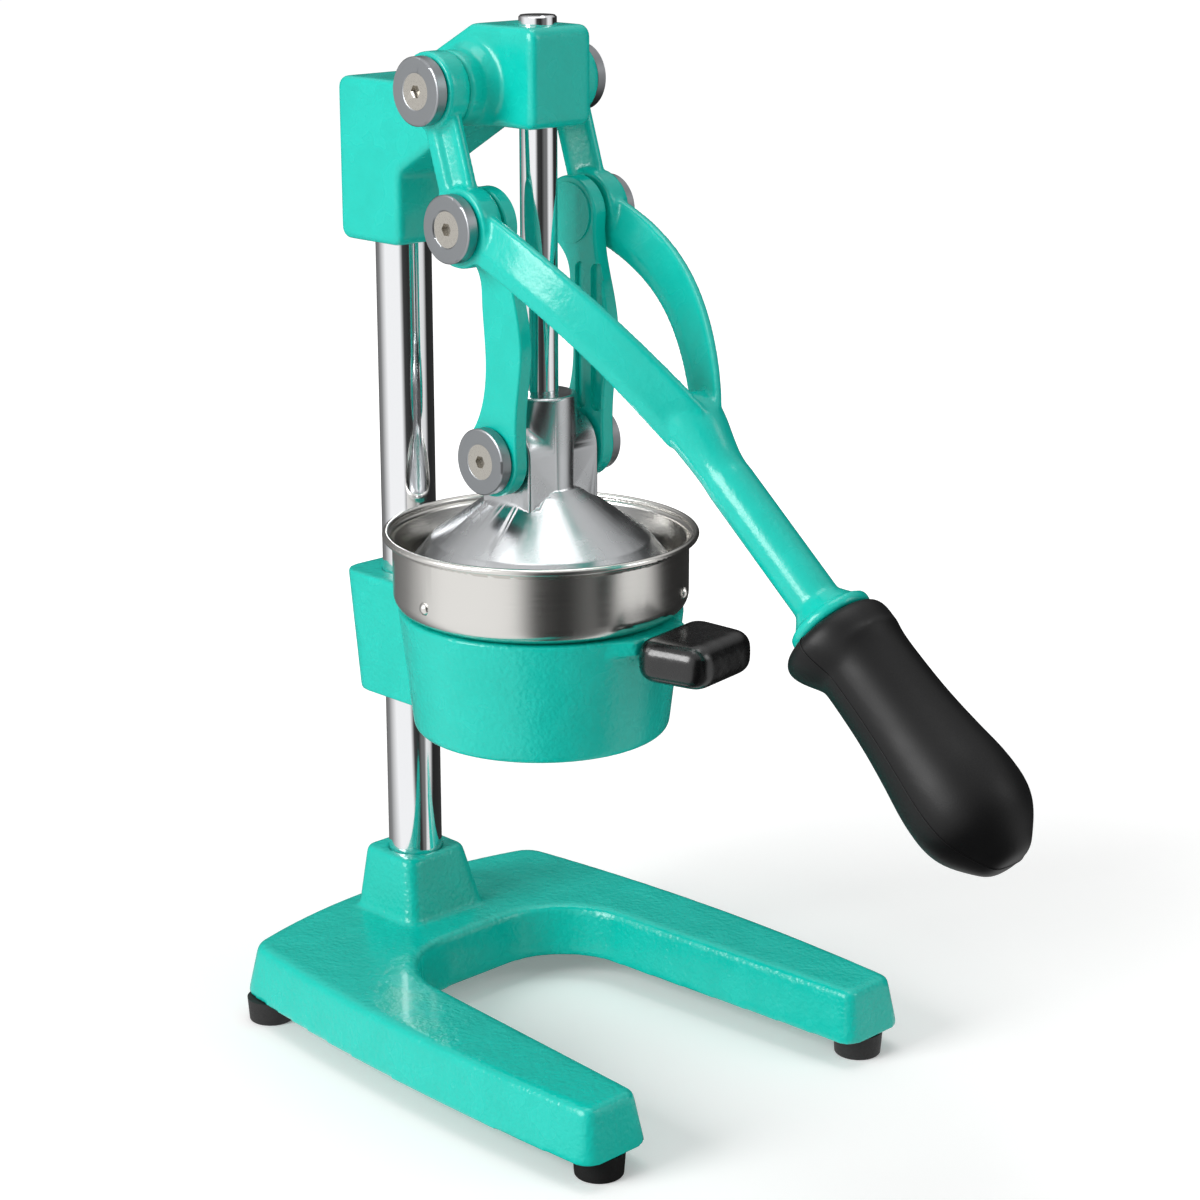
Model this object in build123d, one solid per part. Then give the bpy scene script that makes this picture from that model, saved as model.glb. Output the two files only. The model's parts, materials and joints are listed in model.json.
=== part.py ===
from build123d import *
import os
from math import atan2, cos, degrees, hypot, pi, radians, sin, sqrt

# Lever citrus juice press, in millimetres, +Z up.
# Modelling frame: the Z axis is the guide rod's axis, z = 0 is the counter, the lever's grip points
# to -Y and down (the closed pose), and the object is the same on its +X and -X side apart from the
# holder's small side grip. save() moves every node along Y so that the origin of the written parts
# lies under the middle of the whole press.

# ---- clearances ----
SEAT_FIT = 0.02        # radial gap of bars, pins and screws that are clamped in their holes
RUN_FIT = 0.05         # radial gap of the pins and of the rod, which turn or slide in their bores
SIDE_GAP = 0.3         # side gap between a turning eye and the washer that keeps it
POINT_GAP = 0.1        # gap between a set screw's point and the bar it holds
SCREW_SPARE = 1.0      # how much deeper a tapped hole is than its screw

# ---- base casting and feet ----
FOOT_H = 10.9
FOOT_R = 11.1
FOOT_DRAFT = 0.8       # how much smaller the foot is at the counter
FOOT_FRONT_INSET = (17.3, 11.5)   # from a leg tip's outer corner in to the middle of its foot
FOOT_BACK_INSET = (6.8, 12.7)
FOOT_SCREW_R = 2.0
FOOT_SCREW_HEAD_R = 4.0
FOOT_SCREW_HEAD_H = 2.6
FOOT_SCREW_DEPTH = 12.0
FOOT_RECESS_H = 5.5
BASE_H = 23.9
BASE_DRAFT = 4.2       # inset of the base's top outline from its bottom outline
BASE_FRONT = -130.5    # Y of the two leg tips, at the bottom
BASE_HALF_FRONT = 98.5
BASE_HALF_MID = BASE_HALF_FRONT + 3.0
BASE_HALF_BACK = BASE_HALF_FRONT - 7.5
BASE_MID_Y = -10.0
BASE_CORNER_Y = 106.0
BASE_BACK = 120.5      # Y of the back edge on the middle line, at the bottom
BASE_CORNER_R = 14.0
BASE_TIP_R = 7.0
BAY_HALF_FRONT = 62.5  # the open bay between the legs, which takes the glass
BAY_HALF_REAR = 50.5
BAY_BACK = 41.5
BAY_CORNER_R = 36.0
BASE_EDGE_R = 3.2
BASE_WALL = 6.0
BOSS_R = 12.0
PEDESTAL_H = 28.95
PEDESTAL_HALF_LOW = 24.5
PEDESTAL_HALF_TOP = 17.9
PEDESTAL_FRONT_LOW = 62.5
PEDESTAL_FRONT_TOP = 71.7
PEDESTAL_BACK_LOW = 106.5
PEDESTAL_BACK_TOP = 105.7
PEDESTAL_CORNER_R = 6.0

# ---- column and guide rod ----
COLUMN_R = 12.5
COLUMN_Y = 88.1
COLUMN_SEAT = 30.0     # height of the column's lower end, inside the pedestal
COLUMN_END_WALL = 13.0 # metal of the head above the column's upper end
ROD_R = 8.0
ROD_ABOVE_HEAD = 3.9
BAR_CHAMFER = 0.8
COLUMN_BOLT_R = 4.0
COLUMN_BOLT_HEAD_R = 6.5
COLUMN_BOLT_HEAD_H = 8.0
COLUMN_BOLT_DEPTH = 22.0
COLUMN_WASHER_R = 11.0
COLUMN_WASHER_H = 2.0
COLUMN_BOSS_R = 16.0
COLUMN_BOSS_DROP = 6.0 # height of the bolt's boss below the column's seat

# ---- cup holder, clamped on the column ----
HOLDER_TOP = 200.4
HOLDER_H = 54.4
HOLDER_R_TOP = 62.7
HOLDER_R_LOW = HOLDER_R_TOP - 6.4
HOLDER_WALL = 5.0
HOLDER_EDGE_R = 3.5
FUNNEL_RIM_DROP = 37.0
SPOUT_R = 19.0
SPOUT_BORE_R = 14.5
SPOUT_H = 8.0
BRACKET_HALF_TOP = 24.0
BRACKET_HALF_LOW = 22.0
BRACKET_BACK_TOP = 22.4  # behind the column's axis
BRACKET_BACK_LOW = 17.4
BRACKET_CORNER_R = 11.0
BRACKET_BELOW_CUP = 2.5
SIDE_GRIP_TURN = 8.7     # turn of the side grip from -Y toward +X
SIDE_ARM_H = 7.0
SIDE_ARM_LEFT = (27.0, 19.0)    # half width of the shoulder on the -X side, at the cup and at the grip
SIDE_ARM_RIGHT = (22.0, 16.5)
SIDE_ARM_HALF = 12.0
SIDE_RIB_H = 12.0
SIDE_RIB_HALF = 9.0
SIDE_GRIP_START = HOLDER_R_TOP + 2.8   # radius at which the dipped grip begins
SIDE_GRIP_END = SIDE_GRIP_START + 34.7
SIDE_GRIP_HALF_NEAR = 23.9
SIDE_GRIP_HALF_FAR = 20.4
SIDE_GRIP_H = 19.0
SIDE_GRIP_ABOVE = 2.2    # its top above the holder's rim
SIDE_GRIP_EDGE_R = 8.5
SIDE_GRIP_ROUND_R = 7.0
SIDE_GRIP_SKIN = 8.0

# ---- strainer bowl and reamer ----
BOWL_T = 1.2
BOWL_R = HOLDER_R_TOP + 2.0
BOWL_H = 30.0
BOWL_CORNER_R = 8.0
BOWL_LIP_R = BOWL_R + 2.7
BOWL_LIP_H = 2.0
BEAD_R = 1.6
SPIGOT_R = BOWL_R - 10.2
SPIGOT_H = 4.0
SPIGOT_FIT = 0.5
HOLE_R = 1.6
HOLE_RINGS = ((SPIGOT_R - 10.5, 26), (SPIGOT_R - 5.3, 30))   # (ring radius, number of holes)
DIMPLE_R = 3.0
DIMPLE_H = 11.1          # height of the keeper dimples above the holder's rim
DIMPLE_ANGLES = (57.0, 177.0, 299.0)
REAMER_R = SPIGOT_R - 14.5
REAMER_SKIRT_H = 3.4
REAMER_SHOULDER_R = REAMER_R - 4.0
REAMER_SHOULDER_H = 12.0
REAMER_NECK_R = 8.0
REAMER_NECK_H = 38.0
REAMER_H = 41.5
REAMER_WALL = 4.0
RIB_COUNT = 12
RIB_T = 2.4
RIB_H = 1.8

# ---- press cone, heights above its lower edge ----
CONE_BOTTOM_ABOVE_RIM = 11.6
CONE_R = BOWL_R - 8.2
CONE_SKIRT_H = 9.8
CONE_SHOULDER_R = CONE_R - 8.5
CONE_SHOULDER_H = 20.2
CONE_FOOT_R = 20.5
CONE_FOOT_H = 39.9
NECK_R = 16.0
NECK_FOOT_H = 44.5
PRESS_H = 83.9           # whole height of the press casting, lower edge to neck top
PIVOT_C_H = 58.65
CONE_WALL = 5.0
HOLLOW_TOP_R = 14.0
HOLLOW_TOP_H = 34.0
ROD_SOCKET_H = 50.0
EAR_HALF = 20.5
EAR_DEPTH_HALF = 15.0
EAR_FOOT_H = 33.0

# ---- pivots and linkage, in the Y-Z plane ----
PIN_R = 8.0
CRANK = 57.57            # from the lever's hinge A to the link pivot B
CRANK_LEAN = 18.0        # degrees from straight down, toward the front, when closed
LINK = 99.51             # from pivot B to the press's pivot C
PIVOT_A_Y = 22.4
WASHER_R = 14.3
WASHER_T = 6.0
SCREW_R = 4.0
SCREW_HEAD_R = 8.05
SCREW_HEAD_H = 4.4
SCREW_L = 16.0
HEX_SOCKET = 5.0
SOCKET_DEPTH = 2.6
SCREW_SINK = 0.5         # how far a screw's face sits below its washer's face
STUB_START = 9.6         # distance of a stub pin's inner end from the middle plane

# ---- link plates ----
LINK_IN = 22.0
LINK_OUT = 29.2
LINK_BOSS_OUT = 30.0
LINK_EYE_B_R = 15.8
LINK_EYE_C_R = 16.0
LINK_BACK = ((4.2, 0.28), (2.9, 0.39), (4.7, 0.68))         # (Y, share of the way from C to B)
LINK_FRONT = ((-17.6, 0.62), (-19.2, 0.48), (-16.6, 0.27))
LINK_BACK_ANGLES = (40.0, -55.0)    # where the edge leaves the eye at C and meets the eye at B, degrees
LINK_FRONT_ANGLES = (175.0, 185.0)
LINK_EDGE_R = 1.2
LINK_PAD_R = 13.0
LINK_PAD_T = 0.8
LINK_GROOVE_T = 1.8
LINK_GROOVE_W = 6.2
LINK_GROOVE_L = 64.0
LINK_GROOVE_STEP = 9.6   # from one groove's middle line to the other's

# ---- lever casting ----
ARM_IN = 31.3
ARM_OUT = 42.1
EYE_A_R = 16.0
EYE_B_R = 17.0
LEVER_DROP = 40.3        # degrees of the shaft below level when closed
SHAFT_OFFSET = 3.1       # the shaft's axis passes this far above pivot B
SHAFT_R = 10.2
CROTCH = (               # (distance from pivot B, height, half width, half depth)
    (110.0, 5.4, 15.5, 8.6),
    (123.0, 6.0, 13.2, 12.5),
    (134.0, 4.6, 11.2, 11.2),
    (150.0, 3.1, 10.2, 10.2),
)
FLANGE_AT = 219.6        # distance of the flange from pivot B, along the shaft
FLANGE_T = 5.0
FLANGE_R = 17.8
FLANGE_FLARE = 7.0
TANG_R = 8.0
TANG_L = 80.0
ARM_STEPS = 6            # sections along each bowed arm
ARM_END = 124.0          # distance from pivot B at which an arm ends inside the shaft
ARM_MEET = 130.0         # distance at which the arms' middle lines would meet
ARM_CLOSE_FROM = 25.0    # distance at which the arms begin to close in
ARM_CLOSE_POWER = 1.7
ARM_FOOT_LAG = 5.5       # the foot closes in this much later than the ridge
ARM_THINNING = 0.3       # share of the width that an arm loses up to where the arms meet
ARM_THIN_POWER = 3.0
BOW_AT = 71.0            # distance of the bow's highest point
RIDGE_TOP = 26.1         # height of the ridge there, and how fast it falls away
RIDGE_BOW = 0.0028
FOOT_TOP = 5.6           # the same for the foot
FOOT_BOW = 0.0034
ARM_RIDGE_HALF = 1.9     # half the width of an arm's narrow ridge
ARM_FOOT_INSET = 1.0
ARM_PARTING = 0.32       # height of the widest line, as a share of the section's depth
ARM_EDGE_R = 1.0
UPPER_RIDGE = 10.3       # depth of the upper arm in front of its widest line, and behind it
UPPER_FOOT = 7.6
PANEL_L = 26.0           # sunk panel on the upper arm's outer side
PANEL_W = 8.0
PANEL_T = 1.1
PANEL_CORNER_R = 1.6

# ---- black lever grip, distances from the flange ----
GRIP_OFFSET = 1.4        # the grip's axis above the shaft's axis
GRIP_LIP = (             # (distance, offset, radius)
    (0.0, -2.3, 18.0),
    (4.6, -4.2, 23.2),
    (11.0, -2.8, 22.3),
    (20.0, 0.0, 19.3),
)
GRIP_WAVES = ((12.0, 20.6), (28.5, 19.4), (46.0, 20.1), (70.5, 22.8))  # (distance, radius)
GRIP_LIP_SLOPE = -0.3    # change of the radius per millimetre where the waist leaves the lip
GRIP_BELLY_AT = 87.5
GRIP_BELLY_R = 24.2
GRIP_END_L = 30.0
GRIP_END_ARC = 84.0      # degrees of the rounded end, up to the small flat of the moulding gate

# ---- head casting ----
HEAD_HALF = 17.0
HEAD_FRONT = -15.2
HEAD_ABOVE_A = 25.8
HEAD_BELOW_A = 15.8
HEAD_TOP_BACK = 23.6     # Y where the flat top ends
HEAD_STEP_Y = 75.0
HEAD_STEP_BELOW_A = 1.4
HEAD_BACK = 23.6         # behind the column's axis
HEAD_CLAMP_FRONT = 17.2  # in front of the column's axis
HEAD_CLAMP_BELOW_A = 73.2
HEAD_WEB_BELOW_A = 40.8
HEAD_WEB_Y = 28.0
HEAD_CORNER_R = 5.0
HEAD_EDGE_R = 3.0
HEAD_BOSS_OUT = 31.0
HEAD_BOSS_R = 15.8
HEAD_FLARE = 3.6         # extra radius of the boss where it meets the head's side
HEAD_FLARE_L = 5.0

# ---- set screws ----
SET_SCREW_R = 3.0
SET_SOCKET = 3.0
SET_SINK = 1.0           # how far the set screws sit below the surface
HEAD_SET_BELOW_A = 52.0
HOLDER_SET_DROP = 28.0
PRESS_SET_H = 74.0

# ---- places worked out from the sizes above ----
FOOT_FRONT = (BASE_HALF_FRONT - FOOT_FRONT_INSET[0], BASE_FRONT + FOOT_FRONT_INSET[1])
FOOT_BACK = (BASE_HALF_BACK - FOOT_BACK_INSET[0], BASE_CORNER_Y - FOOT_BACK_INSET[1])
BASE_BOTTOM = FOOT_H
BASE_TOP = BASE_BOTTOM + BASE_H
PEDESTAL_TOP = BASE_TOP + PEDESTAL_H
CUP_BOTTOM = HOLDER_TOP - HOLDER_H
BOWL_FLOOR = HOLDER_TOP - SPIGOT_H + BOWL_T
CONE_BOTTOM = HOLDER_TOP + CONE_BOTTOM_ABOVE_RIM
PIVOT_C_Z = CONE_BOTTOM + PIVOT_C_H
NECK_TOP = CONE_BOTTOM + PRESS_H
PIVOT_B_Y = PIVOT_A_Y - CRANK * sin(radians(CRANK_LEAN))
PIVOT_B_Z = PIVOT_C_Z + sqrt(LINK ** 2 - PIVOT_B_Y ** 2)
PIVOT_A_Z = PIVOT_B_Z + CRANK * cos(radians(CRANK_LEAN))
HEAD_TOP = PIVOT_A_Z + HEAD_ABOVE_A
HEAD_UNDER = PIVOT_A_Z - HEAD_BELOW_A
ROD_TOP = HEAD_TOP + ROD_ABOVE_HEAD
COLUMN_TOP = PIVOT_A_Z - HEAD_STEP_BELOW_A - COLUMN_END_WALL
WASHER_AB_IN = ARM_OUT + SIDE_GAP
WASHER_C_IN = LINK_OUT + SIDE_GAP
PIVOT_A = (PIVOT_A_Y, PIVOT_A_Z)
PIVOT_B = (PIVOT_B_Y, PIVOT_B_Z)
PIVOT_C = (0.0, PIVOT_C_Z)

# The lever's own frame at pivot B: x to the side, y up from the shaft, z along it to the grip.
DROP = radians(LEVER_DROP)
LEVER = Plane(origin=(0, *PIVOT_B), x_dir=(1, 0, 0), z_dir=(0, -cos(DROP), -sin(DROP)))
# The upper arm's frame at pivot B: x to the side, y to the back, z up to pivot A.
LEAN = radians(CRANK_LEAN)
UPPER = Plane(origin=(0, *PIVOT_B), x_dir=(1, 0, 0), z_dir=(0, sin(LEAN), cos(LEAN)))

# The front end of the press is the foremost point of the grip's rounded end.
GRIP_START = FLANGE_AT + FLANGE_T
GRIP_N = SHAFT_OFFSET + GRIP_OFFSET
BELLY_S = GRIP_START + GRIP_BELLY_AT
BELLY_Y = PIVOT_B_Y - BELLY_S * cos(DROP) - GRIP_N * sin(DROP)
PRESS_FRONT = BELLY_Y - hypot(GRIP_END_L * cos(DROP), GRIP_BELLY_R * sin(DROP))
FRAME_SHIFT = -(PRESS_FRONT + BASE_BACK) / 2


# ---- small helpers ----
def cyl_x(radius, x0, x1, centre):
    """A cylinder along X from x0 to x1, round the point centre = (y, z)."""
    return extrude(Plane.YZ.offset(x0) * Pos(*centre) * Circle(radius), x1 - x0)


def cyl_y(radius, y0, y1, x, z):
    """A cylinder along Y from y0 to y1."""
    plane = Plane(origin=(x, y0, z), x_dir=(1, 0, 0), z_dir=(0, 1, 0))
    return extrude(plane * Circle(radius), y1 - y0)


def cyl_z(radius, z0, z1, x=0.0, y=0.0):
    """A cylinder along Z from z0 to z1."""
    return extrude(Plane.XY.offset(z0) * Pos(x, y) * Circle(radius), z1 - z0)


def turned(points):
    """A solid of revolution round the rod's axis, from its (radius, z) outline."""
    return revolve(make_face(Plane.XZ * Polyline(*points, close=True)), Axis.Z)


def side_prism(points, x0, x1, corner_r=0.0):
    """A prism along X from x0 to x1 over a (y, z) outline with rounded corners."""
    face = make_face(Polyline(*points, close=True))
    if corner_r > 0:
        face = fillet(face.vertices(), corner_r)
    return extrude(Plane.YZ.offset(x0) * face, x1 - x0)


def flip(shape):
    """The same piece on the other side of the middle plane."""
    return mirror(shape, about=Plane.YZ)


def ends_x(shape, x):
    """The edges of shape that lie in the plane at x."""
    return shape.edges().filter_by_position(Axis.X, x - 0.01, x + 0.01)


def ends_z(shape, z):
    """The edges of shape that lie in the level plane at z."""
    return shape.edges().filter_by_position(Axis.Z, z - 0.01, z + 0.01)


# ---- base, feet and column ----
def base_outline(inset):
    """The base's outline seen from above, smaller by inset on every side."""
    front = BASE_FRONT + inset
    tip_out = (BASE_HALF_FRONT - inset, front)
    mid_out = (BASE_HALF_MID - inset, BASE_MID_Y)
    corner = (BASE_HALF_BACK - inset, BASE_CORNER_Y - inset)
    tip_in = (BAY_HALF_FRONT + inset, front)
    bay_corner = (BAY_HALF_REAR + inset, BAY_BACK + inset)
    right = [
        Line(tip_in, tip_out),
        ThreePointArc(tip_out, mid_out, corner),
        Line(bay_corner, tip_in),
    ]
    left = [mirror(edge, about=Plane.YZ) for edge in right]
    back = ThreePointArc(corner, (0, BASE_BACK - inset), (-corner[0], corner[1]))
    bay = Line(bay_corner, (-bay_corner[0], bay_corner[1]))
    face = make_face(right + left + [back, bay])
    for y, radius in (
        (front, BASE_TIP_R - inset / 2),
        (corner[1], BASE_CORNER_R - inset / 2),
        (bay_corner[1], BAY_CORNER_R + inset),
    ):
        face = fillet([v for v in face.vertices() if abs(v.Y - y) < 0.01], radius)
    return face


def pedestal_face(half, front, back, z):
    """A level section of the pedestal with rounded corners."""
    middle = (front + back) / 2
    return Plane.XY.offset(z) * Pos(0, middle) * RectangleRounded(2 * half, back - front, PEDESTAL_CORNER_R)


def foot_places():
    """(name, x, y) of the four feet."""
    return [
        ("front_left", -FOOT_FRONT[0], FOOT_FRONT[1]),
        ("front_right", FOOT_FRONT[0], FOOT_FRONT[1]),
        ("back_left", -FOOT_BACK[0], FOOT_BACK[1]),
        ("back_right", FOOT_BACK[0], FOOT_BACK[1]),
    ]


def base_casting():
    """The U-shaped base, hollow from below, with its pedestal for the column."""
    low = Plane.XY.offset(BASE_BOTTOM) * base_outline(0)
    high = Plane.XY.offset(BASE_TOP) * base_outline(BASE_DRAFT)
    shell = loft([low, high], ruled=True)
    shell = fillet(ends_z(shell, BASE_TOP), BASE_EDGE_R)
    shell += loft(
        [
            pedestal_face(PEDESTAL_HALF_LOW, PEDESTAL_FRONT_LOW, PEDESTAL_BACK_LOW, BASE_TOP - BASE_WALL),
            pedestal_face(PEDESTAL_HALF_TOP, PEDESTAL_FRONT_TOP, PEDESTAL_BACK_TOP, PEDESTAL_TOP),
        ],
        ruled=True,
    )
    shell = fillet(ends_z(shell, PEDESTAL_TOP), BASE_EDGE_R / 2)
    solid = shell
    ceiling = BASE_TOP - BASE_WALL
    pocket = loft(
        [
            Plane.XY.offset(BASE_BOTTOM) * base_outline(BASE_WALL),
            Plane.XY.offset(ceiling) * base_outline(BASE_WALL + BASE_DRAFT),
        ],
        ruled=True,
    )
    shell -= pocket
    boss_low = COLUMN_SEAT - COLUMN_BOSS_DROP
    shell += cyl_z(COLUMN_BOSS_R, boss_low, BASE_TOP, 0, COLUMN_Y)
    for _, x, y in foot_places():
        shell += cyl_z(BOSS_R, BASE_BOTTOM, BASE_TOP - BASE_WALL / 2, x, y) & solid
        tapped = BASE_BOTTOM + FOOT_SCREW_DEPTH
        shell -= cyl_z(FOOT_SCREW_R + SEAT_FIT, BASE_BOTTOM, tapped, x, y)
    shell -= cyl_z(COLUMN_R + SEAT_FIT, COLUMN_SEAT, PEDESTAL_TOP, 0, COLUMN_Y)
    return shell - cyl_z(COLUMN_BOLT_R + SEAT_FIT, boss_low, COLUMN_SEAT, 0, COLUMN_Y)


def foot(x, y):
    """One rubber foot, recessed from below for its screw."""
    body = Pos(x, y) * Pos(0, 0, FOOT_H / 2) * Cone(FOOT_R - FOOT_DRAFT, FOOT_R, FOOT_H)
    body = fillet(ends_z(body, 0), FOOT_DRAFT)
    body -= cyl_z(FOOT_SCREW_HEAD_R + 1, 0, FOOT_RECESS_H, x, y)
    return body - cyl_z(FOOT_SCREW_R + SEAT_FIT, 0, FOOT_H, x, y)


def foot_screw(x, y):
    """The screw that holds a foot to the base."""
    head = cyl_z(FOOT_SCREW_HEAD_R, FOOT_RECESS_H - FOOT_SCREW_HEAD_H, FOOT_RECESS_H, x, y)
    tip = FOOT_H + FOOT_SCREW_DEPTH - SCREW_SPARE
    return head + cyl_z(FOOT_SCREW_R, FOOT_RECESS_H, tip, x, y)


def column():
    """The steel column, tapped from below for its bolt."""
    bar = cyl_z(COLUMN_R, COLUMN_SEAT, COLUMN_TOP, 0, COLUMN_Y)
    bar = chamfer(bar.edges(), BAR_CHAMFER)
    return bar - cyl_z(COLUMN_BOLT_R + SEAT_FIT, COLUMN_SEAT, COLUMN_SEAT + COLUMN_BOLT_DEPTH, 0, COLUMN_Y)


def column_bolt():
    """The socket-head bolt that pulls the column into the pedestal."""
    head_top = COLUMN_SEAT - COLUMN_BOSS_DROP - COLUMN_WASHER_H
    head_low = head_top - COLUMN_BOLT_HEAD_H
    bolt = cyl_z(COLUMN_BOLT_HEAD_R, head_low, head_top, 0, COLUMN_Y)
    bolt += cyl_z(COLUMN_BOLT_R, head_top, COLUMN_SEAT + COLUMN_BOLT_DEPTH - SCREW_SPARE, 0, COLUMN_Y)
    socket = RegularPolygon(HEX_SOCKET / sqrt(3), 6)
    return bolt - extrude(Plane.XY.offset(head_low) * Pos(0, COLUMN_Y) * socket, COLUMN_BOLT_HEAD_H / 2)


def column_washer():
    """The plain washer under the bolt's head."""
    top = COLUMN_SEAT - COLUMN_BOSS_DROP
    ring = cyl_z(COLUMN_WASHER_R, top - COLUMN_WASHER_H, top, 0, COLUMN_Y)
    return ring - cyl_z(COLUMN_BOLT_R + SEAT_FIT, top - COLUMN_WASHER_H, top, 0, COLUMN_Y)


# ---- head, guide rod and press casting ----
def head_flare():
    """The +X hinge boss's widened root against the head's side, level with the head's underside."""
    root = Plane.YZ.offset(HEAD_HALF - HEAD_EDGE_R) * Pos(*PIVOT_A) * Circle(HEAD_BOSS_R + HEAD_FLARE)
    side = Plane.YZ.offset(HEAD_HALF) * Pos(*PIVOT_A) * Circle(HEAD_BOSS_R + HEAD_FLARE)
    end = Plane.YZ.offset(HEAD_HALF + HEAD_FLARE_L) * Pos(*PIVOT_A) * Circle(HEAD_BOSS_R)
    flare = loft([root, side], ruled=True) + loft([side, end], ruled=True)
    reach = 2 * HEAD_BOSS_OUT
    above = Pos(0, PIVOT_A_Y, HEAD_UNDER + HEAD_BOSS_OUT) * Box(reach, reach, reach)
    return flare & above


def head_casting():
    """The arm on the column: rod guide in front, hinge bosses, column clamp behind."""
    back = COLUMN_Y + HEAD_BACK
    clamp_front = COLUMN_Y - HEAD_CLAMP_FRONT
    clamp_low = PIVOT_A_Z - HEAD_CLAMP_BELOW_A
    step_z = PIVOT_A_Z - HEAD_STEP_BELOW_A
    outline = (
        (HEAD_FRONT, HEAD_UNDER),
        (HEAD_FRONT, HEAD_TOP),
        (HEAD_TOP_BACK, HEAD_TOP),
        (HEAD_STEP_Y, step_z),
        (back, step_z),
        (back, clamp_low),
        (clamp_front, clamp_low),
        (clamp_front, PIVOT_A_Z - HEAD_WEB_BELOW_A),
        (HEAD_WEB_Y, HEAD_UNDER),
    )
    body = side_prism(outline, -HEAD_HALF, HEAD_HALF, HEAD_CORNER_R)
    body = fillet(ends_x(body, HEAD_HALF) + ends_x(body, -HEAD_HALF), HEAD_EDGE_R)
    boss = cyl_x(HEAD_BOSS_R, -HEAD_BOSS_OUT, HEAD_BOSS_OUT, PIVOT_A)
    boss = fillet(boss.edges(), BAR_CHAMFER)
    body += boss
    body += head_flare() + flip(head_flare())
    body -= cyl_x(PIN_R + SEAT_FIT, -HEAD_BOSS_OUT, HEAD_BOSS_OUT, PIVOT_A)
    body -= cyl_z(ROD_R + RUN_FIT, HEAD_UNDER, HEAD_TOP)
    body -= cyl_z(COLUMN_R + SEAT_FIT, clamp_low, COLUMN_TOP, 0, COLUMN_Y)
    set_z = PIVOT_A_Z - HEAD_SET_BELOW_A
    return body - cyl_y(SET_SCREW_R + SEAT_FIT, COLUMN_Y, back, 0, set_z)


def set_screw(y0, y1, z):
    """A socket set screw along Y, from its point at y0 to its socket end at y1."""
    screw = cyl_y(SET_SCREW_R, y0, y1, 0, z)
    screw = chamfer(screw.edges(), SET_SCREW_R / 6)
    plane = Plane(origin=(0, y1, z), x_dir=(1, 0, 0), z_dir=(0, -1, 0))
    return screw - extrude(plane * RegularPolygon(SET_SOCKET / sqrt(3), 6), SET_SOCKET)


def head_set_screw():
    """The screw that clamps the head on the column."""
    point = COLUMN_Y + COLUMN_R + POINT_GAP
    return set_screw(point, COLUMN_Y + HEAD_BACK - SET_SINK, PIVOT_A_Z - HEAD_SET_BELOW_A)


def guide_rod():
    """The rod that carries the press and slides through the head."""
    return chamfer(cyl_z(ROD_R, CONE_BOTTOM + ROD_SOCKET_H, ROD_TOP).edges(), BAR_CHAMFER)


def press_cone():
    """The press casting: hollow cone, neck with the rod's socket, and two pivot ears."""
    z = CONE_BOTTOM
    shoulder_in = CONE_SHOULDER_R - CONE_WALL
    outside = (
        (0, z),
        (CONE_R, z),
        (CONE_R, z + CONE_SKIRT_H),
        (CONE_SHOULDER_R, z + CONE_SHOULDER_H),
        (CONE_FOOT_R, z + CONE_FOOT_H),
        (NECK_R, z + NECK_FOOT_H),
        (NECK_R, NECK_TOP),
        (0, NECK_TOP),
    )
    hollow = (
        (0, z),
        (CONE_R - CONE_WALL, z),
        (CONE_R - CONE_WALL, z + CONE_SKIRT_H - CONE_WALL / 2),
        (shoulder_in, z + CONE_SHOULDER_H - CONE_WALL),
        (HOLLOW_TOP_R, z + HOLLOW_TOP_H),
        (0, z + HOLLOW_TOP_H),
    )
    body = turned(outside)
    shoulder = ends_z(body, z + CONE_SKIRT_H) + ends_z(body, z + CONE_SHOULDER_H)
    body = fillet(shoulder, CONE_WALL)
    body = fillet(ends_z(body, NECK_TOP), BAR_CHAMFER * 2)
    ear = Plane.YZ.offset(-EAR_HALF) * Pos(*PIVOT_C) * Circle(EAR_DEPTH_HALF)
    ears = extrude(ear, 2 * EAR_HALF)
    root_z = z + EAR_FOOT_H
    ears += Pos(0, 0, (root_z + PIVOT_C_Z) / 2) * Box(2 * EAR_HALF, 2 * EAR_DEPTH_HALF, PIVOT_C_Z - root_z)
    ears = fillet(ends_x(ears, EAR_HALF) + ends_x(ears, -EAR_HALF), BAR_CHAMFER * 1.5)
    body += ears
    body -= turned(hollow)
    body -= cyl_z(ROD_R + SEAT_FIT, z + ROD_SOCKET_H, NECK_TOP)
    for x0, x1 in ((-EAR_HALF, -STUB_START), (STUB_START, EAR_HALF)):
        body -= cyl_x(PIN_R + SEAT_FIT, x0, x1, PIVOT_C)
    return body - cyl_y(SET_SCREW_R + SEAT_FIT, 0, NECK_R, 0, z + PRESS_SET_H)


def press_set_screw():
    """The screw that fixes the rod in the press's neck, from behind."""
    return set_screw(ROD_R + POINT_GAP, NECK_R - SET_SINK, CONE_BOTTOM + PRESS_SET_H)


# ---- pivot pins, washers and screws ----
def pin_end(pin, x, centre, outward):
    """The pin with a blind hole for the screw in its end at x."""
    inner = x - outward * (SCREW_L - WASHER_T)
    return pin - cyl_x(SCREW_R + SEAT_FIT, min(x, inner), max(x, inner), centre)


def pivot_shaft_a():
    """The hinge shaft through the head, on which the lever turns."""
    shaft = cyl_x(PIN_R, -WASHER_AB_IN, WASHER_AB_IN, PIVOT_A)
    shaft = pin_end(shaft, WASHER_AB_IN, PIVOT_A, 1)
    return pin_end(shaft, -WASHER_AB_IN, PIVOT_A, -1)


def stub_pin(inner, outer, centre):
    """A short pivot pin on the +X side."""
    return pin_end(cyl_x(PIN_R, inner, outer, centre), outer, centre, 1)


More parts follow.
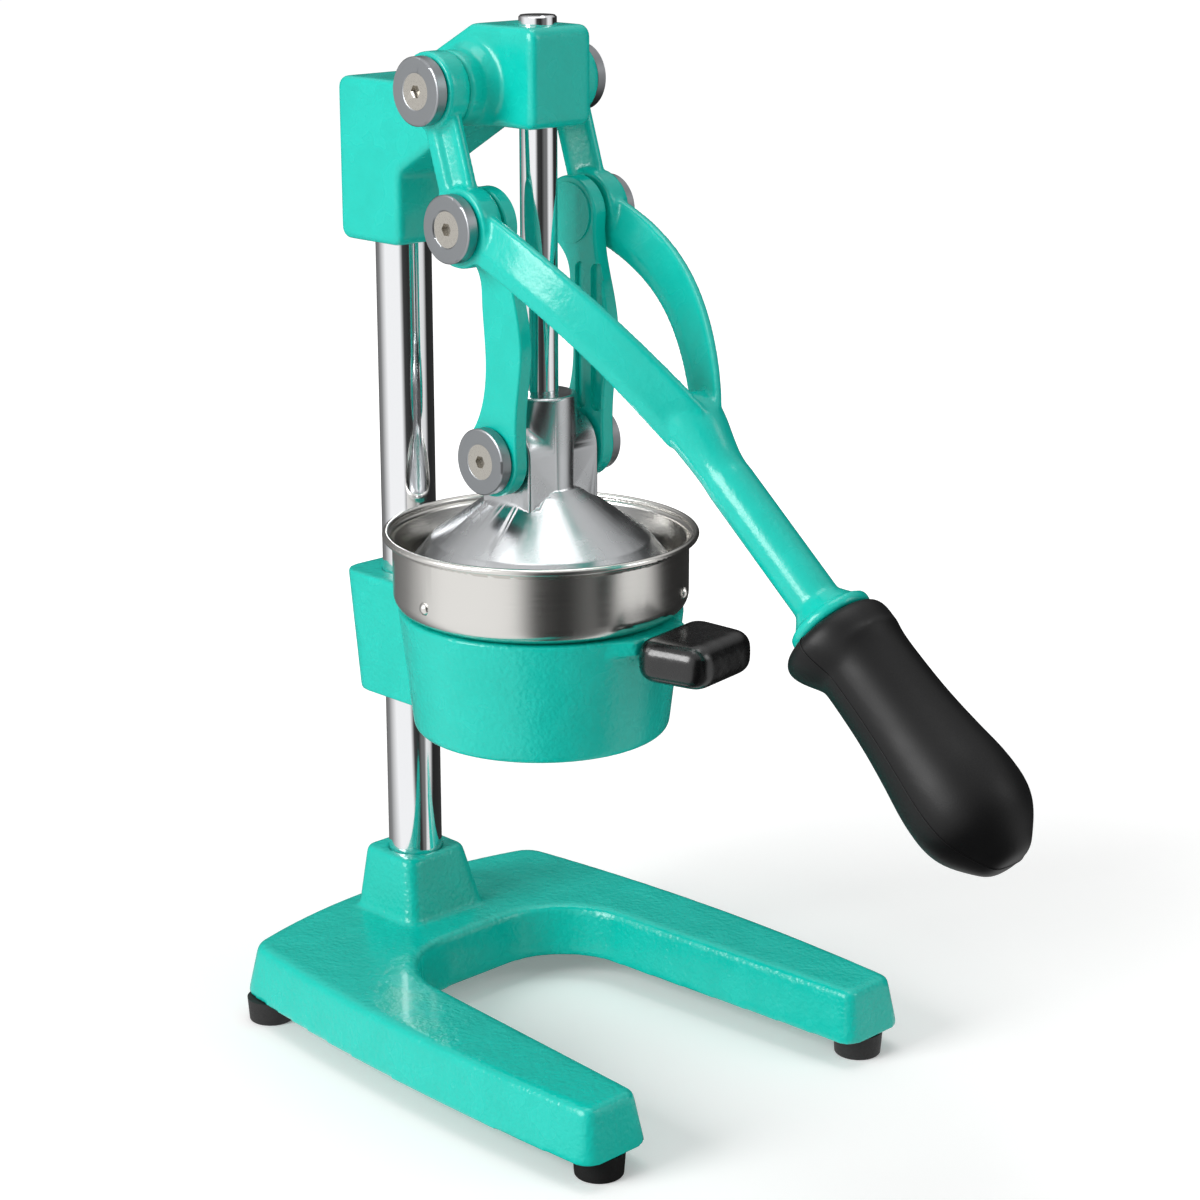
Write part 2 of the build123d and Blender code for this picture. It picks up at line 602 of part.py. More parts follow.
def washer(inner, centre):
    """A thick countersunk washer on the +X side, its inner face at x = inner."""
    outer = inner + WASHER_T
    ring = cyl_x(WASHER_R, inner, outer, centre)
    ring = chamfer(ring.edges(), BAR_CHAMFER)
    ring -= cyl_x(SCREW_R + SEAT_FIT, inner, outer, centre)
    return ring - screw_head(outer, centre, SEAT_FIT)


def screw_head(outer, centre, extra):
    """The countersunk cone of a screw, up to the washer's face at x = outer, larger by extra."""
    face = Plane.YZ.offset(outer) * Pos(*centre) * Circle(SCREW_HEAD_R + extra)
    foot_face = Plane.YZ.offset(outer - SCREW_HEAD_H) * Pos(*centre) * Circle(SCREW_R + extra)
    return loft([foot_face, face], ruled=True)


def screw(inner, centre):
    """A countersunk socket screw on the +X side, through the washer that starts at inner."""
    outer = inner + WASHER_T
    face_x = outer - SCREW_SINK
    body = screw_head(outer, centre, 0) - cyl_x(SCREW_HEAD_R, face_x, outer, centre)
    body += cyl_x(SCREW_R, outer - SCREW_L + SCREW_SPARE, outer - SCREW_HEAD_H, centre)
    socket = Plane.YZ.offset(face_x - SOCKET_DEPTH) * Pos(*centre) * RegularPolygon(HEX_SOCKET / sqrt(3), 6)
    return body - extrude(socket, SOCKET_DEPTH)


# ---- links ----
def on_circle(centre, radius, angle):
    """The point of a circle at an angle in degrees, and the direction in which the angle grows."""
    turn = radians(angle)
    point = (centre[0] + radius * cos(turn), centre[1] + radius * sin(turn))
    return point, (-sin(turn), cos(turn))


def link_edge(start, shape, end):
    """One long edge of the link: a smooth curve from start to end through its waist points."""
    rise = PIVOT_B_Z - PIVOT_C_Z
    middle = [(y, PIVOT_C_Z + share * rise) for y, share in shape]
    return Spline(start[0], *middle, end[0], tangents=[start[1], end[1]])


def link_plate():
    """The +X link: a waisted plate with an eye on the press's pin and a boss beside the lever."""
    edges = (LINK_BACK_ANGLES, LINK_FRONT_ANGLES)
    at_c = [on_circle(PIVOT_C, LINK_EYE_C_R, angle) for angle, _ in edges]
    at_b = [on_circle(PIVOT_B, LINK_EYE_B_R, angle) for _, angle in edges]
    back = link_edge(at_c[0], LINK_BACK, at_b[0])
    front = link_edge(at_b[1], LINK_FRONT, at_c[1])
    eye_b = ThreePointArc(back @ 1, (PIVOT_B_Y, PIVOT_B_Z + LINK_EYE_B_R), front @ 0)
    eye_c = ThreePointArc(front @ 1, (0, PIVOT_C_Z - LINK_EYE_C_R), back @ 0)
    outline = make_face([back, eye_b, front, eye_c])
    body = extrude(Plane.YZ.offset(LINK_IN) * outline, LINK_OUT - LINK_IN)
    body = fillet(ends_x(body, LINK_OUT) + ends_x(body, LINK_IN), LINK_EDGE_R)
    body += cyl_x(LINK_PAD_R, LINK_OUT, LINK_BOSS_OUT, PIVOT_B)
    body += cyl_x(LINK_PAD_R, LINK_IN - LINK_PAD_T, LINK_IN, PIVOT_B)
    groove_y = (LINK_BACK[1][0] + LINK_FRONT[1][0]) / 2 + LINK_EDGE_R
    groove_z = (PIVOT_B_Z - LINK_PAD_R + PIVOT_C_Z + PIN_R) / 2
    for side in (-1, 1):
        y = groove_y + side * LINK_GROOVE_STEP / 2
        slot = Plane.YZ.offset(LINK_IN) * Pos(y, groove_z) * Rot(0, 0, 90)
        body -= extrude(slot * SlotOverall(LINK_GROOVE_L, LINK_GROOVE_W), LINK_GROOVE_T)
    return body - cyl_x(PIN_R + RUN_FIT, LINK_IN, LINK_OUT, PIVOT_C)


# ---- lever ----
def arm_section(plane, ridge_x, ridge, foot_x, foot, width):
    """A wedge-shaped section of an arm: narrow ridge, widest line, slightly narrower foot."""
    widest = foot + ARM_PARTING * (ridge - foot)
    half = width / 2
    points = (
        (ridge_x - ARM_RIDGE_HALF, ridge),
        (ridge_x + ARM_RIDGE_HALF, ridge),
        (foot_x + half, widest),
        (foot_x + half - ARM_FOOT_INSET, foot),
        (foot_x - half + ARM_FOOT_INSET, foot),
        (foot_x - half, widest),
    )
    face = make_face(Polyline(*points, close=True))
    return plane * fillet(face.vertices(), ARM_EDGE_R)


def closing(s):
    """How far the arms have closed in at the distance s: 0 at the start, 1 on the middle plane."""
    return max(0.0, (s - ARM_CLOSE_FROM) / (ARM_MEET - ARM_CLOSE_FROM)) ** ARM_CLOSE_POWER


def bowed_section(s):
    """The section of the bowed lower arm at the distance s from pivot B."""
    middle = (ARM_IN + ARM_OUT) / 2
    ridge_x = middle * (1 - closing(s))
    foot_x = middle * (1 - closing(s - ARM_FOOT_LAG))
    slope = middle * (closing(s) - closing(s - ARM_FOOT_LAG)) / ARM_FOOT_LAG
    ridge = RIDGE_TOP - RIDGE_BOW * (s - BOW_AT) ** 2
    foot_n = FOOT_TOP - FOOT_BOW * (s - BOW_AT) ** 2
    thinning = 1 - ARM_THINNING * closing(s) ** ARM_THIN_POWER
    width = (ARM_OUT - ARM_IN) * hypot(1, slope) * thinning
    return arm_section(LEVER.offset(s), ridge_x, ridge, foot_x, foot_n, width)


def upper_section(s):
    """The section of the straight upper arm at the height s above pivot B."""
    middle = (ARM_IN + ARM_OUT) / 2
    return arm_section(UPPER.offset(s), middle, -UPPER_RIDGE, middle, UPPER_FOOT, ARM_OUT - ARM_IN)


def upper_panel():
    """The sunk panel's cutter on the outer side of the upper arm's front wedge."""
    middle = (ARM_IN + ARM_OUT) / 2
    depth = UPPER_RIDGE + UPPER_FOOT
    widest = UPPER_FOOT - ARM_PARTING * depth
    rise = widest + UPPER_RIDGE
    inset = ARM_OUT - middle - ARM_RIDGE_HALF
    centre = UPPER * Pos(ARM_OUT - inset / 2, widest - rise / 2, CRANK / 2)
    tilt = Rot(0, 0, degrees(atan2(-inset, rise)))
    face = centre * tilt * Rot(0, 90, 0) * RectangleRounded(PANEL_L, PANEL_W, PANEL_CORNER_R)
    return extrude(face, PANEL_T, both=True)


def lever_arm():
    """The +X arm of the fork, from the hinge eye past pivot B to the crotch."""
    upper = loft([upper_section(0), upper_section(CRANK)], ruled=True)
    steps = [ARM_END * n / (ARM_STEPS - 1) for n in range(ARM_STEPS)]
    bowed = loft([bowed_section(s) for s in steps])
    reach = 2 * ARM_OUT
    right_half = Pos(reach / 2, *PIVOT_B) * Box(reach, 4 * CRANK + 2 * LINK, 4 * CRANK + 2 * LINK)
    arm = (upper + bowed) & right_half
    for radius, centre in ((EYE_A_R, PIVOT_A), (EYE_B_R, PIVOT_B)):
        eye = cyl_x(radius, ARM_IN, ARM_OUT, centre)
        arm += fillet(eye.edges(), BAR_CHAMFER)
    return arm - upper_panel()


def shaft_disc(s, radius, offset=SHAFT_OFFSET):
    """A round section across the lever at the distance s from pivot B."""
    return LEVER.offset(s) * Pos(0, offset) * Circle(radius)


def shaft_bar(s0, s1, radius):
    """A round bar on the shaft's axis from s0 to s1."""
    return extrude(shaft_disc(s0, radius), s1 - s0)


def lever_fork():
    """The lever casting: two bowed arms that join into the shaft, the grip's flange and its tang."""
    arm = lever_arm()
    body = arm + flip(arm)
    body += loft([LEVER.offset(s) * Pos(0, n) * Ellipse(half_x, half_n) for s, n, half_x, half_n in CROTCH])
    body += shaft_bar(CROTCH[-1][0], FLANGE_AT, SHAFT_R)
    flare_from = shaft_disc(FLANGE_AT - FLANGE_FLARE, SHAFT_R)
    body += loft([flare_from, shaft_disc(FLANGE_AT, FLANGE_R - FLANGE_T / 2)], ruled=True)
    flange = shaft_bar(FLANGE_AT, GRIP_START, FLANGE_R)
    body += fillet(flange.edges(), FLANGE_T / 3)
    body += shaft_bar(GRIP_START, GRIP_START + TANG_L, TANG_R)
    for centre, fit in ((PIVOT_A, RUN_FIT), (PIVOT_B, SEAT_FIT)):
        body -= cyl_x(PIN_R + fit, -ARM_OUT - ARM_EDGE_R, ARM_OUT + ARM_EDGE_R, centre)
    return body


def lever_grip():
    """The waisted round grip that is pressed over the shaft's tang, with its flared lip."""
    first = GRIP_WAVES[0]
    points = [(radius, s) for s, radius in GRIP_WAVES + ((GRIP_BELLY_AT, GRIP_BELLY_R),)]
    side = Spline(*points, tangents=[(GRIP_LIP_SLOPE, 1), (0, 1)])
    rounded = [radians(GRIP_END_ARC * n / 3) for n in range(4)]
    tip = Spline(
        *[(GRIP_BELLY_R * cos(t), GRIP_BELLY_AT + GRIP_END_L * sin(t)) for t in rounded],
        tangents=[(0, 1), (-1, 0)],
    )
    end = (0, (tip @ 1).Y)
    face = make_face([Line((0, first[0]), points[0]), side, tip, Line(tip @ 1, end), Line(end, (0, first[0]))])
    body = LEVER.offset(GRIP_START) * Pos(0, GRIP_N, 0) * revolve(Plane.XZ * face, Axis.Z)
    body += loft([shaft_disc(GRIP_START + s, radius, GRIP_N + n) for s, n, radius in GRIP_LIP])
    return body - shaft_bar(GRIP_START, GRIP_START + TANG_L, TANG_R + SEAT_FIT)


# ---- bowl, reamer and holder ----
def strainer_bowl():
    """The sheet-steel bowl: nesting spigot, perforated floor, flared rolled rim."""
    rim = HOLDER_TOP
    inner_r = BOWL_R - BOWL_T
    top = rim + BOWL_H
    outline = (
        (0, rim - SPIGOT_H),
        (SPIGOT_R, rim - SPIGOT_H),
        (SPIGOT_R, rim),
        (BOWL_R, rim),
        (BOWL_R, top),
        (BOWL_LIP_R, top + BOWL_LIP_H),
        (BOWL_LIP_R - BOWL_T, top + BOWL_LIP_H + BOWL_T / 2),
        (inner_r, top + BOWL_T),
        (inner_r, rim + BOWL_T),
        (SPIGOT_R - BOWL_T, rim + BOWL_T),
        (SPIGOT_R - BOWL_T, BOWL_FLOOR),
        (0, BOWL_FLOOR),
    )
    face = make_face(Polyline(*outline, close=True))
    outer = face.vertices().sort_by_distance((BOWL_R, rim))[0]
    face = fillet(outer, BOWL_CORNER_R)
    inner = face.vertices().sort_by_distance((inner_r, rim + BOWL_T))[0]
    face = fillet(inner, BOWL_CORNER_R - BOWL_T)
    body = revolve(Plane.XZ * face, Axis.Z)
    body += Pos(0, 0, top + BOWL_LIP_H + BEAD_R) * Torus(BOWL_LIP_R, BEAD_R)
    for ring_r, count in HOLE_RINGS:
        for n in range(count):
            turn = 2 * pi * n / count
            body -= cyl_z(HOLE_R, rim - SPIGOT_H, BOWL_FLOOR, ring_r * cos(turn), ring_r * sin(turn))
    for angle in DIMPLE_ANGLES:
        x = inner_r * cos(radians(angle))
        y = inner_r * sin(radians(angle))
        body += Pos(x, y, rim + DIMPLE_H) * Sphere(DIMPLE_R) - cyl_z(inner_r, rim, top)
    return body


def reamer_cone():
    """The ribbed squeezing cone that stands in the bowl under the press."""
    z = BOWL_FLOOR
    outside = (
        (0, z),
        (REAMER_R, z),
        (REAMER_R, z + REAMER_SKIRT_H),
        (REAMER_SHOULDER_R, z + REAMER_SHOULDER_H),
        (REAMER_NECK_R, z + REAMER_NECK_H),
        (REAMER_NECK_R / 2, z + REAMER_H),
        (0, z + REAMER_H),
    )
    hollow = (
        (0, z),
        (REAMER_R - REAMER_WALL, z),
        (REAMER_SHOULDER_R - REAMER_WALL, z + REAMER_SHOULDER_H - REAMER_WALL),
        (REAMER_NECK_R / 2, z + REAMER_NECK_H - 2 * REAMER_WALL),
        (0, z + REAMER_NECK_H - 2 * REAMER_WALL),
    )
    rib_outline = (
        (REAMER_NECK_R / 2, z + REAMER_SKIRT_H),
        (REAMER_SHOULDER_R, z + REAMER_SKIRT_H),
        (REAMER_SHOULDER_R + RIB_H, z + REAMER_SHOULDER_H),
        (REAMER_NECK_R, z + REAMER_NECK_H + RIB_H),
        (REAMER_NECK_R / 2, z + REAMER_H),
    )
    rib_face = Plane.XZ.offset(-RIB_T / 2) * make_face(Polyline(*rib_outline, close=True))
    rib = extrude(rib_face, RIB_T)
    body = turned(outside)
    for n in range(RIB_COUNT):
        body += Rot(0, 0, 360 * n / RIB_COUNT) * rib
    return body - turned(hollow)


def side_plan(points, top, height):
    """A level plate whose (along, across) outline points along the side grip's direction."""
    face = make_face(Polyline(*points, close=True))
    plate = extrude(Plane.XY.offset(top - height) * face, height)
    return Rot(0, 0, SIDE_GRIP_TURN - 90) * plate


def bracket_face(half, back, z):
    """A level section of the clamp block behind the cup."""
    face = make_face(Polyline((-half, 0), (half, 0), (half, back), (-half, back), close=True))
    corners = face.vertices().group_by(Axis.Y)[-1]
    return Plane.XY.offset(z) * fillet(corners, BRACKET_CORNER_R)


def cup_holder():
    """The holder casting: cup with a funnel floor, column clamp and the side grip's arm."""
    low = CUP_BOTTOM
    cup = turned(((0, low), (HOLDER_R_LOW, low), (HOLDER_R_TOP, HOLDER_TOP), (0, HOLDER_TOP)))
    cup = fillet(ends_z(cup, low), HOLDER_EDGE_R)
    block_low = low - BRACKET_BELOW_CUP
    block = loft(
        [
            bracket_face(BRACKET_HALF_LOW, COLUMN_Y + BRACKET_BACK_LOW, block_low),
            bracket_face(BRACKET_HALF_TOP, COLUMN_Y + BRACKET_BACK_TOP, HOLDER_TOP),
        ],
        ruled=True,
    )
    block -= cyl_z(HOLDER_R_LOW - HOLDER_WALL, block_low, low)
    arm = side_plan(
        (
            (HOLDER_R_LOW, -SIDE_ARM_LEFT[0]),
            (SIDE_GRIP_START, -SIDE_ARM_LEFT[1]),
            (SIDE_GRIP_START, -SIDE_ARM_HALF),
            (SIDE_GRIP_END - SIDE_GRIP_SKIN, -SIDE_ARM_HALF),
            (SIDE_GRIP_END - SIDE_GRIP_SKIN, SIDE_ARM_HALF),
            (SIDE_GRIP_START, SIDE_ARM_HALF),
            (SIDE_GRIP_START, SIDE_ARM_RIGHT[1]),
            (HOLDER_R_LOW, SIDE_ARM_RIGHT[0]),
        ),
        HOLDER_TOP,
        SIDE_ARM_H,
    )
    rib = side_plan(
        (
            (HOLDER_R_LOW, -SIDE_RIB_HALF),
            (SIDE_GRIP_START, -SIDE_RIB_HALF),
            (SIDE_GRIP_START, SIDE_RIB_HALF),
            (HOLDER_R_LOW, SIDE_RIB_HALF),
        ),
        HOLDER_TOP,
        SIDE_RIB_H,
    )
    body = cup + block + arm + rib
    body += cyl_z(SPOUT_R, low - SPOUT_H, low)
    bore_r = SPIGOT_R + SPIGOT_FIT
    hollow = turned(
        (
            (0, low - SPOUT_H),
            (SPOUT_BORE_R, low - SPOUT_H),
            (SPOUT_BORE_R, low + HOLDER_WALL),
            (HOLDER_R_LOW - HOLDER_WALL, low + 3 * HOLDER_WALL),
            (bore_r, HOLDER_TOP - FUNNEL_RIM_DROP + 2 * HOLDER_WALL),
            (bore_r, HOLDER_TOP),
            (0, HOLDER_TOP),
        )
    )
    body -= hollow
    body -= cyl_z(COLUMN_R + SEAT_FIT, block_low, HOLDER_TOP, 0, COLUMN_Y)
    set_z = HOLDER_TOP - HOLDER_SET_DROP
    return body - cyl_y(SET_SCREW_R + SEAT_FIT, COLUMN_Y, COLUMN_Y + BRACKET_BACK_TOP, 0, set_z)


def bracket_back(z):
    """How far behind the column's axis the clamp block reaches at the height z."""
    low = CUP_BOTTOM - BRACKET_BELOW_CUP
    share = (z - low) / (HOLDER_TOP - low)
    return BRACKET_BACK_LOW + share * (BRACKET_BACK_TOP - BRACKET_BACK_LOW)


def holder_set_screw():
    """The screw that clamps the holder on the column."""
    set_z = HOLDER_TOP - HOLDER_SET_DROP
    return set_screw(COLUMN_Y + COLUMN_R + POINT_GAP, COLUMN_Y + bracket_back(set_z) - SET_SINK, set_z)


def holder_grip():
    """The dipped grip on the holder's side arm, with the pocket for the arm."""
    top = HOLDER_TOP + SIDE_GRIP_ABOVE
    body = side_plan(
        (
            (SIDE_GRIP_START, -SIDE_GRIP_HALF_NEAR),
            (SIDE_GRIP_END, -SIDE_GRIP_HALF_FAR),
            (SIDE_GRIP_END, SIDE_GRIP_HALF_FAR),
            (SIDE_GRIP_START, SIDE_GRIP_HALF_NEAR),
        ),
        top,
        SIDE_GRIP_H,
    )
    body = fillet(body.edges().filter_by(Axis.Z), SIDE_GRIP_EDGE_R)
    body = fillet(ends_z(body, top) + ends_z(body, top - SIDE_GRIP_H), SIDE_GRIP_ROUND_R)
    pocket = side_plan(
        (
            (SIDE_GRIP_START, -SIDE_ARM_HALF),
            (SIDE_GRIP_END - SIDE_GRIP_SKIN, -SIDE_ARM_HALF),
            (SIDE_GRIP_END - SIDE_GRIP_SKIN, SIDE_ARM_HALF),
            (SIDE_GRIP_START, SIDE_ARM_HALF),
        ),
        HOLDER_TOP,
        SIDE_ARM_H,
    )
    return body - pocket


# ---- writing the nodes ----
def save(name, shapes):
    """Write one node, moved so that the press stands centred over the origin."""
    placed = [Pos(0, FRAME_SHIFT, 0) * shape for shape in shapes]
    node = placed[0] if len(placed) == 1 else Compound(children=placed)
    node.label = name
    export_step(node, f"parts/{name}.step")


def pair(shape):
    """A piece on the +X side and the same piece on the -X side."""
    return [shape, flip(shape)]


os.makedirs("parts", exist_ok=True)
save("base_casting", [base_casting()])
for corner, foot_x, foot_y in foot_places():
    save(f"foot_{corner}", [foot(foot_x, foot_y)])
save("foot_screws", [foot_screw(x, y) for _, x, y in foot_places()])
save("column", [column()])
save("column_bolt", [column_bolt()])
save("column_washer", [column_washer()])
save("cup_holder", [cup_holder()])
save("holder_set_screw", [holder_set_screw()])
save("holder_grip", [holder_grip()])
save("strainer_bowl", [strainer_bowl()])
save("reamer_cone", [reamer_cone()])
save("head_casting", [head_casting()])
save("head_set_screw", [head_set_screw()])
save("pivot_shaft_a", [pivot_shaft_a()])
save("washers_a", pair(washer(WASHER_AB_IN, PIVOT_A)))
save("screws_a", pair(screw(WASHER_AB_IN, PIVOT_A)))
save("guide_rod", [guide_rod()])
save("press_cone", [press_cone()])
save("press_set_screw", [press_set_screw()])
save("pivot_pins_c", pair(stub_pin(STUB_START, WASHER_C_IN, PIVOT_C)))
save("washers_c", pair(washer(WASHER_C_IN, PIVOT_C)))
save("screws_c", pair(screw(WASHER_C_IN, PIVOT_C)))
save("link_right", [link_plate()])
save("link_left", [flip(link_plate())])
save("lever_fork", [lever_fork()])
save("lever_grip", [lever_grip()])
save("pivot_pins_b", pair(stub_pin(LINK_BOSS_OUT + SIDE_GAP, WASHER_AB_IN, PIVOT_B)))
save("washers_b", pair(washer(WASHER_AB_IN, PIVOT_B)))
save("screws_b", pair(screw(WASHER_AB_IN, PIVOT_B)))
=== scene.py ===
"""The looks of a lever citrus juice press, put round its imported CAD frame."""

import json
import math

import bpy
from bpy.props import FloatProperty, FloatVectorProperty, IntProperty, PointerProperty
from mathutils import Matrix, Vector


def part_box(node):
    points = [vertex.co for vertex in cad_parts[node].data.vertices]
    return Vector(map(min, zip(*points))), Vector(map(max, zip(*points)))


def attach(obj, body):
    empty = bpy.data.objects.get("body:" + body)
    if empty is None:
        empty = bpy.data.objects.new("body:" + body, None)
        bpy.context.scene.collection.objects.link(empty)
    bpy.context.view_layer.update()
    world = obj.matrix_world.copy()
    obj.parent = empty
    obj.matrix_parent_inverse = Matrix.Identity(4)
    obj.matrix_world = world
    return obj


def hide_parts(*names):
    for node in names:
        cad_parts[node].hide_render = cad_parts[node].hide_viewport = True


bl_info = {
    "name": "Citrus Press Looks",
    "version": (1, 0, 0),
    "blender": (4, 5, 0),
    "location": "3D View > Sidebar > Citrus Press",
    "description": "Finishes, grip seam, stage and camera for a lever citrus juice press",
    "category": "Object",
}

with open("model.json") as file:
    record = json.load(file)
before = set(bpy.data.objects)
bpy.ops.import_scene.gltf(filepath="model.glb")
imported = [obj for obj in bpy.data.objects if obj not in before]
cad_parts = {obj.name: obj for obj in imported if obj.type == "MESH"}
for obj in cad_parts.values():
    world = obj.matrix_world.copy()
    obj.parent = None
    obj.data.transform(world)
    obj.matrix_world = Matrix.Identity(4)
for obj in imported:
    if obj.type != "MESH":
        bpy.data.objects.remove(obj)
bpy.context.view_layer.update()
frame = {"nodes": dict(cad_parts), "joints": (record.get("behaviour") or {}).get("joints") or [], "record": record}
BODY_OF = {node: body for body, nodes in frame["record"]["behaviour"]["bodies"].items() for node in nodes}
JOINTS = {joint["name"]: joint for joint in frame["joints"]}


# ---- places read from the frame ----
def middle_of(node):
    """The middle of a CAD node's box."""
    low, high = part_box(node)
    return (low + high) / 2


PIVOT_A = Vector(JOINTS["lever_hinge"]["pos_m"])
PIVOT_B = middle_of("pivot_pins_b")
PIVOT_C = Vector(JOINTS["link_left_hinge"]["pos_m"])
ROD = middle_of("guide_rod")
GRIP = middle_of("lever_grip")


def linear(hex_colour):
    """The linear colour of an sRGB hex value, as a tuple of four."""
    parts = [int(hex_colour[n : n + 2], 16) / 255 for n in (1, 3, 5)]
    return tuple(c / 12.92 if c <= 0.04045 else ((c + 0.055) / 1.055) ** 2.4 for c in parts) + (1.0,)


def colour_setting(name, description, default):
    """A colour property with its default given as sRGB hex."""
    return FloatVectorProperty(
        name=name, description=description, default=linear(default), size=4, min=0, max=1, subtype="COLOR"
    )


def length_setting(name, description, default):
    """A length property in metres."""
    return FloatProperty(
        name=name, description=description, default=default, min=0, unit="LENGTH", precision=5
    )


def angle_setting(name, description, degrees):
    """An angle property with its default given in degrees."""
    return FloatProperty(
        name=name, description=description, default=math.radians(degrees), subtype="ANGLE"
    )


def count_setting(name, description, default, least=0):
    """A whole-number property."""
    return IntProperty(name=name, description=description, default=default, min=least)


def power_setting(name, description, default):
    """A lamp's power in watts."""
    return FloatProperty(name=name, description=description, default=default, min=0, unit="POWER")


class PressColours(bpy.types.PropertyGroup):
    """Colours of the press's finishes."""

    enamel: colour_setting("Enamel", "Teal enamel on all castings", "#06C6B6")
    enamel_deep: colour_setting(
        "Enamel, thick film", "Teal where the film has pooled in the casting's pits", "#02B6A6"
    )
    chrome: colour_setting("Chrome", "Chrome plate of the column and the guide rod", "#F0F1F3")
    aluminium: colour_setting("Aluminium", "Turned and polished press casting", "#C6C8CA")
    stainless: colour_setting("Stainless", "Brushed sheet of the strainer bowl", "#E0DEDA")
    washer: colour_setting("Washer steel", "Turned washers on the pivots", "#96999C")
    screw: colour_setting("Screw steel", "Countersunk screws and set screws", "#C4C0B8")
    grip: colour_setting("Grip", "Moulded lever grip", "#0A0A0B")
    dipped: colour_setting("Dipped grip", "Glossy dipped grip on the holder", "#0A0A0B")
    rubber: colour_setting("Rubber", "Feet under the base", "#141414")


class PressSizes(bpy.types.PropertyGroup):
    """Sizes of the mesh work and of the details that the looks add."""

    merge: length_setting("Merge distance", "Corners nearer than this are joined", 0.000002)
    smooth_angle: angle_setting("Smooth angle", "Edges flatter than this are shaded smooth", 32)
    flat_angle: angle_setting("Flat angle", "Faces that meet flatter than this are one face", 0.3)
    softening_grid: length_setting("Softening grid", "Mesh size of rounded-over castings and grips", 0.001)
    base_grid: length_setting("Base softening grid", "The same for the base, the largest piece", 0.0013)
    softening_rounds: count_setting("Softening rounds", "How often a casting's edges are eased", 8)
    lever_rounds: count_setting("Lever softening rounds", "The same for the lever with its panels", 4)
    grip_rounds: count_setting("Grip softening rounds", "The same for the two black grips", 14)
    coarse_grain: length_setting("Coarse casting grain", "Pebbles of the sand-cast base and holder", 0.0021)
    fine_grain: length_setting("Fine casting grain", "Pebbles of the head, the links and the lever", 0.0019)
    coarse_relief: length_setting("Coarse relief", "Height of the coarse pebbles under the enamel", 0.0004)
    fine_relief: length_setting("Fine relief", "Height of the fine pebbles under the enamel", 0.00013)
    turning_pitch: length_setting("Turning pitch", "Distance between the lathe's marks", 0.0004)
    brush_pitch: length_setting("Brush pitch", "Distance between the marks of the brushing belt", 0.0005)
    seam: length_setting("Seam", "Half width of a mould seam that stands proud", 0.00022)
    seam_fineness: count_setting("Seam fineness", "Fineness of a seam's round section", 2, least=1)


class PressStage(bpy.types.PropertyGroup):
    """Lights and floor."""

    key: power_setting("Key", "Power of the softbox on the left", 46)
    fill: power_setting("Fill", "Power of the softbox in front", 7)
    top: power_setting("Top", "Power of the overhead softbox", 12)
    room: FloatProperty(name="Room", description="Strength of the room's even light", default=0.37, min=0)
    floor_size: length_setting("Floor", "Side of the pale floor", 12.0)


# ---- shader nodes ----
def add(tree, kind, settings, inputs):
    """Add a shader node; an input is given as a plain value or as the socket that feeds it."""
    made = tree.nodes.new(kind)
    for name, value in settings.items():
        setattr(made, name, value)
    for name, value in inputs.items():
        if isinstance(value, bpy.types.NodeSocket):
            tree.links.new(value, made.inputs[name])
        else:
            made.inputs[name].default_value = value
    return made


def blank_material(name):
    """A new material with an empty tree, and its object coordinates."""
    material = bpy.data.materials.new(name)
    material.use_nodes = True
    material.node_tree.nodes.clear()
    place = add(material.node_tree, "ShaderNodeTexCoord", {}, {}).outputs["Object"]
    return material, material.node_tree, place


def surface(tree, inputs):
    """The surface shader and the material's output."""
    shader = add(tree, "ShaderNodeBsdfPrincipled", {}, inputs)
    add(tree, "ShaderNodeOutputMaterial", {}, {"Surface": shader.outputs["BSDF"]})


def noise(tree, vector, size, detail=2.0, roughness=0.5):
    """Noise whose features are about size metres across."""
    inputs = {"Vector": vector, "Scale": 1 / size, "Detail": detail, "Roughness": roughness}
    return add(tree, "ShaderNodeTexNoise", {}, inputs).outputs["Fac"]


def spread(tree, value, low, high, from_low=0.3, from_high=0.7):
    """The value mapped from its usual span, by default that of noise, to low..high."""
    inputs = {"Value": value, "From Min": from_low, "From Max": from_high, "To Min": low, "To Max": high}
    return add(tree, "ShaderNodeMapRange", {}, inputs).outputs["Result"]


def blended(tree, share, first, second):
    """Two colours mixed by share."""
    inputs = {"Factor": share, "A": first, "B": second}
    return add(tree, "ShaderNodeMix", {"data_type": "RGBA"}, inputs).outputs["Result"]


def relief(tree, height, depth, under=None):
    """A bump of the given depth in metres, on top of another bump if one is given."""
    inputs = {"Height": height, "Distance": depth, "Strength": 1.0}
    if under is not None:
        inputs["Normal"] = under
    return add(tree, "ShaderNodeBump", {}, inputs).outputs["Normal"]


def moved(tree, vector, centre, scale=(1, 1, 1)):
    """The coordinates counted from centre and stretched by scale."""
    inputs = {"Vector": vector, "Location": tuple(-c * s for c, s in zip(centre, scale)), "Scale": scale}
    return add(tree, "ShaderNodeMapping", {}, inputs).outputs["Vector"]


def distance_from_axis(tree, vector, centre, along_x):
    """The distance from a line through centre, along X or along Z."""
    flat = (0, 1, 1) if along_x else (1, 1, 0)
    centred = moved(tree, vector, centre, flat)
    return add(tree, "ShaderNodeVectorMath", {"operation": "LENGTH"}, {0: centred}).outputs["Value"]


# ---- materials ----
# Sizes in metres of the marks that only one finish has, and how deep or high they stand.
GRINDING_RING = 0.0012
GRINDING_DEPTH = 0.0000015
WIPED_PATCH = 0.03
POLISHED_CLOUD = 0.012
TURNING_DEPTH = 0.000003
BRUSHING_DEPTH = 0.0000012
FACING_DEPTH = 0.000012
SCREW_DENT = 0.0009
SCREW_DENT_DEPTH = 0.00001
